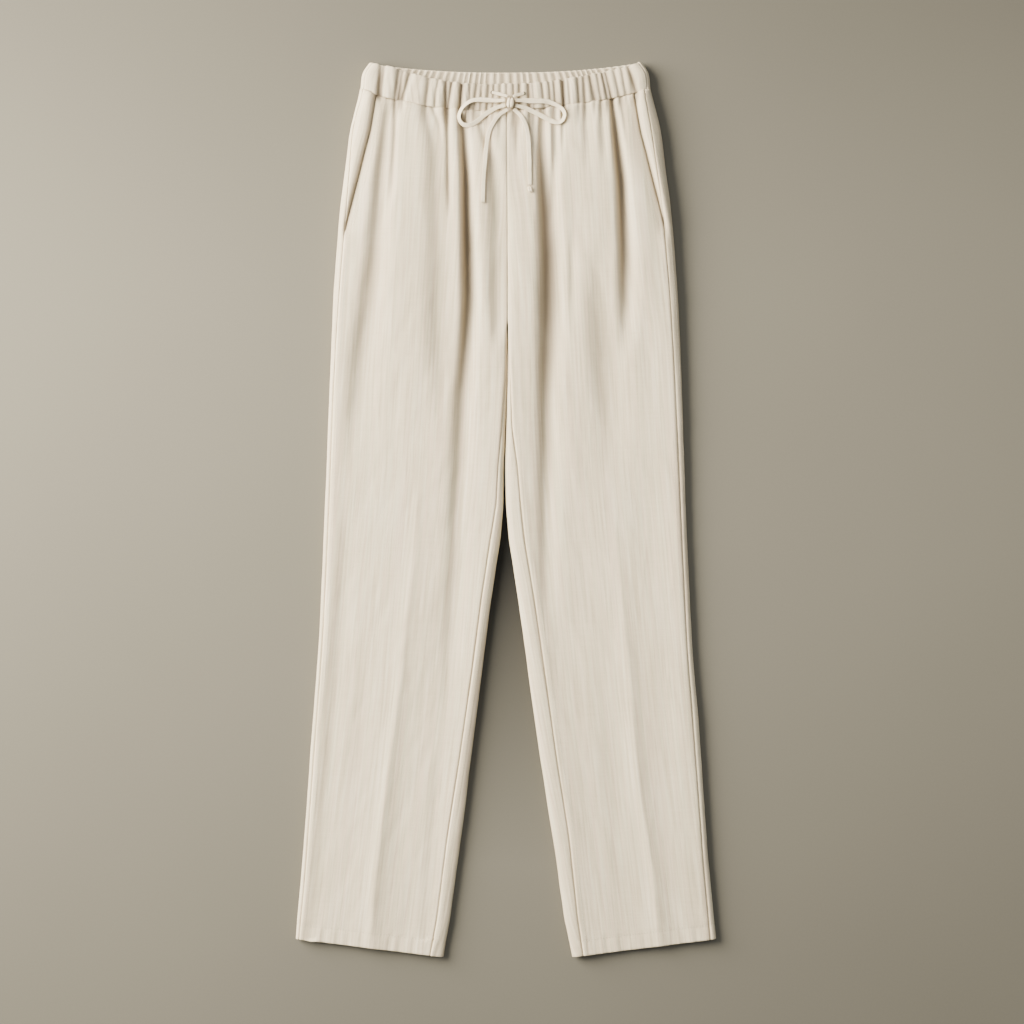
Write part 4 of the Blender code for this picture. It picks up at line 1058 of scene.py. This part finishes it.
def ribs(share):
    """The back casing's close gathers: nought in a valley and one on a rounded crest."""
    turn = math.pi * (share + 1)
    phase = RIB_COUNT * (share + 1) / 2 + 0.38 * np.sin(2.3 * turn + 1) + 0.2 * np.sin(5.1 * turn)
    phase = phase + 0.16 * ripple(7, share * RIB_COUNT, share * 0.0, 1.7, 1.0)
    off = np.abs(phase - np.rint(phase)) * 2
    return 1 - np.exp(0.2 - np.sqrt((off / 0.32) ** 2 + 0.04))


def back_band():
    level = np.linspace(0.0, 1.0, 16)[:, None]
    outer, fold = leg("outer", level * BAND_DEPTH), leg("fold", level * BAND_DEPTH)
    flat = np.linspace(-1, 1, 330)[None, :] * (outer - OUTER_ROLL - 0.5)
    end_inset = (1 - END_SHARE) * outer - 0.3
    end_angle = np.arccos(1 - end_inset / OUTER_ROLL)
    angle = -math.pi / 2 + (end_angle + math.pi / 2) * np.linspace(0, 1, 15)[None, 1:]
    roll_out = outer - OUTER_ROLL * (1 - np.cos(angle))
    roll_up = fold / 2 * (1 + np.sin(angle))
    across = np.concatenate((-roll_out[:, ::-1], flat, roll_out), axis=1)[:, ::-1]
    height = np.concatenate((roll_up[:, ::-1], flat * 0, roll_up), axis=1)[:, ::-1]
    share = np.clip(across / outer, -1, 1)
    down = waist("back_top", share) * (1 - level) + (waist("back_seam", share) - 0.1) * level
    down = down + TOP_ROLL * (1 - level)
    crest = ribs(share) * ease((1 - np.abs(share)) * 10)
    on_floor = np.pad(np.ones_like(flat), ((0, 0), (14, 14)))
    height = height + on_floor * 0.7 * (1 - crest) * ease((1 - np.abs(share)) * 12)
    points = np.stack(np.broadcast_arrays(across, LENGTH / 2 - down, height), axis=-1)
    steps = np.linalg.norm(np.diff(points[8], axis=0), axis=1)
    along = np.concatenate(([0], np.cumsum(steps))) * MM
    ways = np.stack((np.broadcast_to(along, down.shape), -down * MM), axis=-1)
    thickness = BACK_CASING + RIB_DEPTH * crest[0]
    # Painted shade in the valleys between the back casing's ribs, on its inner face only and fading out near
    # its ends.
    valley = 0.75 * (1 - crest) * ease((1 - np.abs(share)) * 10) * np.ones_like(down)
    points, ways, hollow = casing(points, ways, (0 * valley, valley), thickness)
    piece = woven("waistband_back_casing", points * MM, ways, band_linen, CLOTH, hollow)
    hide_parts("waistband_back")
    return piece, points * MM


made["band_back"] = back_band()
made["band_front"] = front_band()
declare_cut(*made["band_back"], 0.0, ["board"], [])
declare_cut(*made["band_front"], 0.0, [made["band_back"][0]], [])

# The drawstring: a narrow flat linen tape in the casing, which comes out of two small worked
# holes at the front and is tied in a bow. One tail ends cut plain, the other in a small knot.
TAPE_WIDTH = 5.6
TAPE_THICKNESS = 1.3
TAPE_COLUMNS = ("across", "down", "above", "turn", "share")
KNOT = {"across": 5.8, "down": 49.3, "size": (9.0, 12.0, 6.8)}
TAIL_KNOT = {"across": 28.3, "down": 148.8, "size": (5.4, 6.8, 4.0)}
EYELETS = (("right", -15.6, 36.9), ("left", 21.2, 38.0))
TAPES = {
    "loop_right": (
        (0.3, 46.4, 3.6, 0, 0.62), (-9.8, 46.6, 2.0, 10, 0.85), (-21.3, 46.0, 1.2, 15, 1.0),
        (-32.3, 45.6, 1.2, 25, 1.0), (-41.5, 48.0, 1.8, 35, 0.95), (-49.5, 55.0, 2.0, 40, 0.9),
        (-53.4, 64.5, 1.8, 40, 0.9), (-50.7, 72.0, 1.6, 35, 0.9), (-43.5, 74.9, 1.2, 30, 0.95),
        (-34.3, 71.4, 1.0, 15, 1.0), (-22.0, 61.6, 1.0, 5, 0.95), (-9.8, 54.6, 1.8, 0, 0.8),
        (0.3, 52.2, 3.0, 0, 0.62)),
    "loop_left": (
        (11.3, 46.4, 3.6, 0, 0.62), (20.0, 46.4, 2.2, 5, 0.85), (30.0, 46.8, 1.4, 10, 1.0),
        (40.0, 46.9, 1.2, 15, 1.0), (49.0, 47.8, 1.2, 25, 0.95), (58.2, 51.3, 1.6, 35, 0.9),
        (65.4, 56.4, 1.8, 40, 0.9), (68.1, 62.4, 1.8, 40, 0.9), (66.0, 68.8, 1.6, 35, 0.9),
        (60.2, 71.9, 1.2, 25, 0.95), (52.1, 69.4, 1.0, 10, 1.0), (37.7, 61.9, 1.0, 0, 1.0),
        (22.2, 54.8, 1.6, 0, 0.85), (11.3, 52.2, 3.0, 0, 0.62)),
    "tail_right": (
        (2.6, 56.6, 2.6, 0, 0.62), (-2.0, 59.6, 1.4, 0, 0.75), (-8.0, 63.8, 1.0, 0, 0.85),
        (-13.2, 70.8, 1.0, 0, 0.85), (-17.6, 79.0, 1.0, 0, 0.85), (-20.3, 88.5, 1.0, 0, 0.85),
        (-22.0, 101.0, 1.0, 0, 0.85), (-23.3, 115.0, 1.0, 0, 0.85), (-24.8, 131.3, 1.0, 0, 0.85),
        (-25.6, 148.0, 1.0, 0, 0.85), (-25.9, 164.0, 1.0, 0, 0.85)),
    "tail_left": (
        (9.4, 56.6, 2.6, 0, 0.62), (14.0, 60.2, 1.4, 0, 0.75), (18.0, 64.6, 1.0, 0, 0.85),
        (21.6, 70.8, 1.0, 0, 0.85), (24.6, 79.6, 1.0, 0, 0.85), (26.2, 90.0, 1.0, 0, 0.85),
        (27.0, 102.0, 1.0, 0, 0.85), (27.5, 116.0, 1.0, 0, 0.85), (27.8, 131.3, 1.0, 0, 0.85),
        (28.2, 144.0, 1.0, 0, 0.7)),
    "strand_right": (
        (-15.6, 36.9, 0.6, 0, 0.55), (-9.5, 38.4, 1.4, 0, 0.7), (-3.0, 40.2, 2.4, 0, 0.65),
        (2.8, 42.0, 3.2, 0, 0.5)),
    "strand_left": (
        (21.6, 37.8, 0.6, 0, 0.55), (17.2, 39.0, 1.4, 0, 0.65), (12.8, 40.4, 2.4, 0, 0.65),
        (8.8, 42.0, 3.2, 0, 0.5)),
}
tape_linen = linen_finish("tape linen", 0.08)
uppermost = np.concatenate([made[piece][1].reshape(-1, 3) for piece in
                            ("front_right", "front_left", "band_front")]) / MM


def rest_height(across, down, reach=3.2):
    """Height of the cloth's highest point close to a place on the front."""
    near = np.hypot(uppermost[:, 0] - across, uppermost[:, 1] - (LENGTH / 2 - down)) < reach
    return float(uppermost[near, 2].max())


def closed_strip(name, rings, ways, material):
    """A closed strip of tape through rings of points, drawn together at both ends."""
    first, last = rings[0].mean(axis=0), rings[-1].mean(axis=0)
    shut = [rings[:1] * 0 + first, rings[:1] * 0.45 + first * 0.55, rings, rings[-1:] * 0.45 + last * 0.55,
            rings[-1:] * 0 + last]
    shut_ways = np.concatenate((ways[:1], ways[:1], ways, ways[-1:], ways[-1:]))
    piece = woven(name, np.concatenate(shut) * MM, shut_ways, material, 0)
    bm = bmesh.new()
    bm.from_mesh(piece.data)
    bmesh.ops.remove_doubles(bm, verts=bm.verts, dist=0.00002)
    bmesh.ops.recalc_face_normals(bm, faces=bm.faces)
    bm.to_mesh(piece.data)
    bm.free()
    return piece


def tape_rings(path, turn, width, thickness, around=16):
    """Rings of a flat tape's section along a path, and their weave coordinates."""
    tangent = np.gradient(path, axis=0)
    tangent /= np.linalg.norm(tangent, axis=1, keepdims=True)
    level = np.cross(np.array([0.0, 0.0, 1.0]), tangent)
    level /= np.linalg.norm(level, axis=1, keepdims=True)
    upward = np.cross(tangent, level)
    sin, cos = np.sin(np.radians(turn))[:, None], np.cos(np.radians(turn))[:, None]
    side = level * cos + upward * sin
    upward = upward * cos - level * sin
    angle = np.linspace(0, 2 * math.pi, around + 1)
    out = np.sign(np.cos(angle)) * np.abs(np.cos(angle)) ** 0.4
    rise = np.sign(np.sin(angle)) * np.abs(np.sin(angle)) ** 0.4
    dip = 1 - 0.22 * np.exp(-(out / 0.35) ** 2)
    rings = (path[:, None] + side[:, None] * (out[None, :, None] * width[:, None, None] / 2)
             + upward[:, None] * ((rise * dip)[None, :, None] * thickness[:, None, None] / 2))
    way = np.concatenate(([0], np.cumsum(np.linalg.norm(np.diff(path, axis=0), axis=1))))
    ways = np.stack(np.broadcast_arrays(angle[None, :] / (2 * math.pi) * 2 * TAPE_WIDTH, way[:, None]), axis=-1)
    return rings, ways * MM, way[-1]


def tape(name, rows):
    """A stretch of tape on a smooth curve through its points, resting on the cloth."""
    steps = np.arange(len(rows), dtype=float)
    fine = np.linspace(0, len(rows) - 1, 6 * (len(rows) - 1) + 1)
    across, down, above, turn, share = (curve_through(fine, steps, column(rows, TAPE_COLUMNS, part))
                                        for part in TAPE_COLUMNS)
    rest = np.array([rest_height(a, d) for a, d in zip(across, down)])
    rest = np.convolve(np.pad(rest, 5, mode="edge"), np.ones(11) / 11, mode="valid")
    height = rest + above * 0.7 + TAPE_THICKNESS / 2
    path = np.stack((across, LENGTH / 2 - down, height), axis=-1)
    sway = 0.12 * ripple(len(rows), fine, fine * 0, 0.7, 1.0)
    rings, ways, length = tape_rings(path, turn + 30 * sway, TAPE_WIDTH * share * (1 + sway * 0.5),
                                     np.full(len(fine), TAPE_THICKNESS))
    piece = closed_strip("drawstring_tape_" + name, rings, ways, tape_linen)
    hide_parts("drawstring_" + name)
    return piece, path * MM, length * MM


def knot(name, place, node, wraps, lean, seed):
    """A tight knot: a small rounded bundle with grooves between its wraps."""
    width, depth, thick = place["size"]
    steps = np.linspace(-0.94, 0.94, 22)
    around = np.linspace(0, 2 * math.pi, 29)
    end = (1 - np.abs(steps) ** 3.2) ** 0.5
    step, angle = np.meshgrid(steps, around, indexing="ij")
    groove = 0.2 * np.abs(np.cos(np.pi * wraps * (step + 1) / 2 + 0.25 * np.sin(angle))) ** 8
    uneven = 0.05 * ripple(seed, 9 * np.cos(angle), 9 * step, 4.0, 4.0)
    size = end[:, None] * (1 - groove + uneven)
    out = np.sign(np.cos(angle)) * np.abs(np.cos(angle)) ** 0.8 * depth / 2 * size
    rise = np.sign(np.sin(angle)) * np.abs(np.sin(angle)) ** 0.8 * thick / 2 * size
    across = step * width / 2 + lean * out
    middle = np.array((place["across"], LENGTH / 2 - place["down"], place["level"]))
    rings = middle + np.stack((across, out, rise), axis=-1)
    ways = np.stack((angle * 4.0, step * width), axis=-1) * MM
    piece = closed_strip(name, rings, ways, tape_linen)
    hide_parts(node)
    return piece


def eyelet(name, across, down):
    """A small worked hole in the casing, drawn only as a flat disc painted with the shade inside its opening.
    """
    level = rest_height(across, down, 2.4) - 0.25
    middle = Vector((across, LENGTH / 2 - down, level)) * MM
    bm = bmesh.new()
    bmesh.ops.create_circle(bm, cap_ends=True, segments=14, radius=EYELET_RADIUS * MM)
    for vertex in bm.verts:
        vertex.co = middle + Vector((vertex.co.x, EYELET_LENGTHENING * vertex.co.y, 0.3 * MM))
    mesh = bpy.data.meshes.new(name)
    bm.to_mesh(mesh)
    bm.free()
    return placed(name, mesh, hole_shade_finish)


# Painted shade: a near-black colour for the flat discs that stand for the shade inside the casing's two holes.
hole_shade_finish = finish_of("painted shade inside the casing's holes", (0.05, 0.038, 0.026), 0.95)[0]
tapes = {name: tape(name, rows) for name, rows in TAPES.items()}
KNOT["level"] = rest_height(KNOT["across"], KNOT["down"], 4.0) + KNOT["size"][2] / 2 - 0.4
TAIL_KNOT["level"] = rest_height(TAIL_KNOT["across"], TAIL_KNOT["down"]) + TAIL_KNOT["size"][2] / 2 - 0.4
bow_knot = knot("drawstring_knot_wraps", KNOT, "drawstring_knot", 2, 0.12, 11)
tail_knot = knot("drawstring_tail_knot", TAIL_KNOT, "drawstring_end_knot", 2, -0.25, 13)
for name, across, down in EYELETS:
    eyelet("eyelet_" + name, across, down)

FREE_TAPES = (
    ("loop_right", "object", ("strand_right",), (bow_knot,)),
    ("loop_left", "object", ("strand_left",), ()),
    ("tail_right", "bare", (), ()),
    ("tail_left", "knot", (), (tail_knot,)),
)
for name, far_end, strands, others in FREE_TAPES:
    carried = [tapes[strand][0] for strand in strands] + list(others)
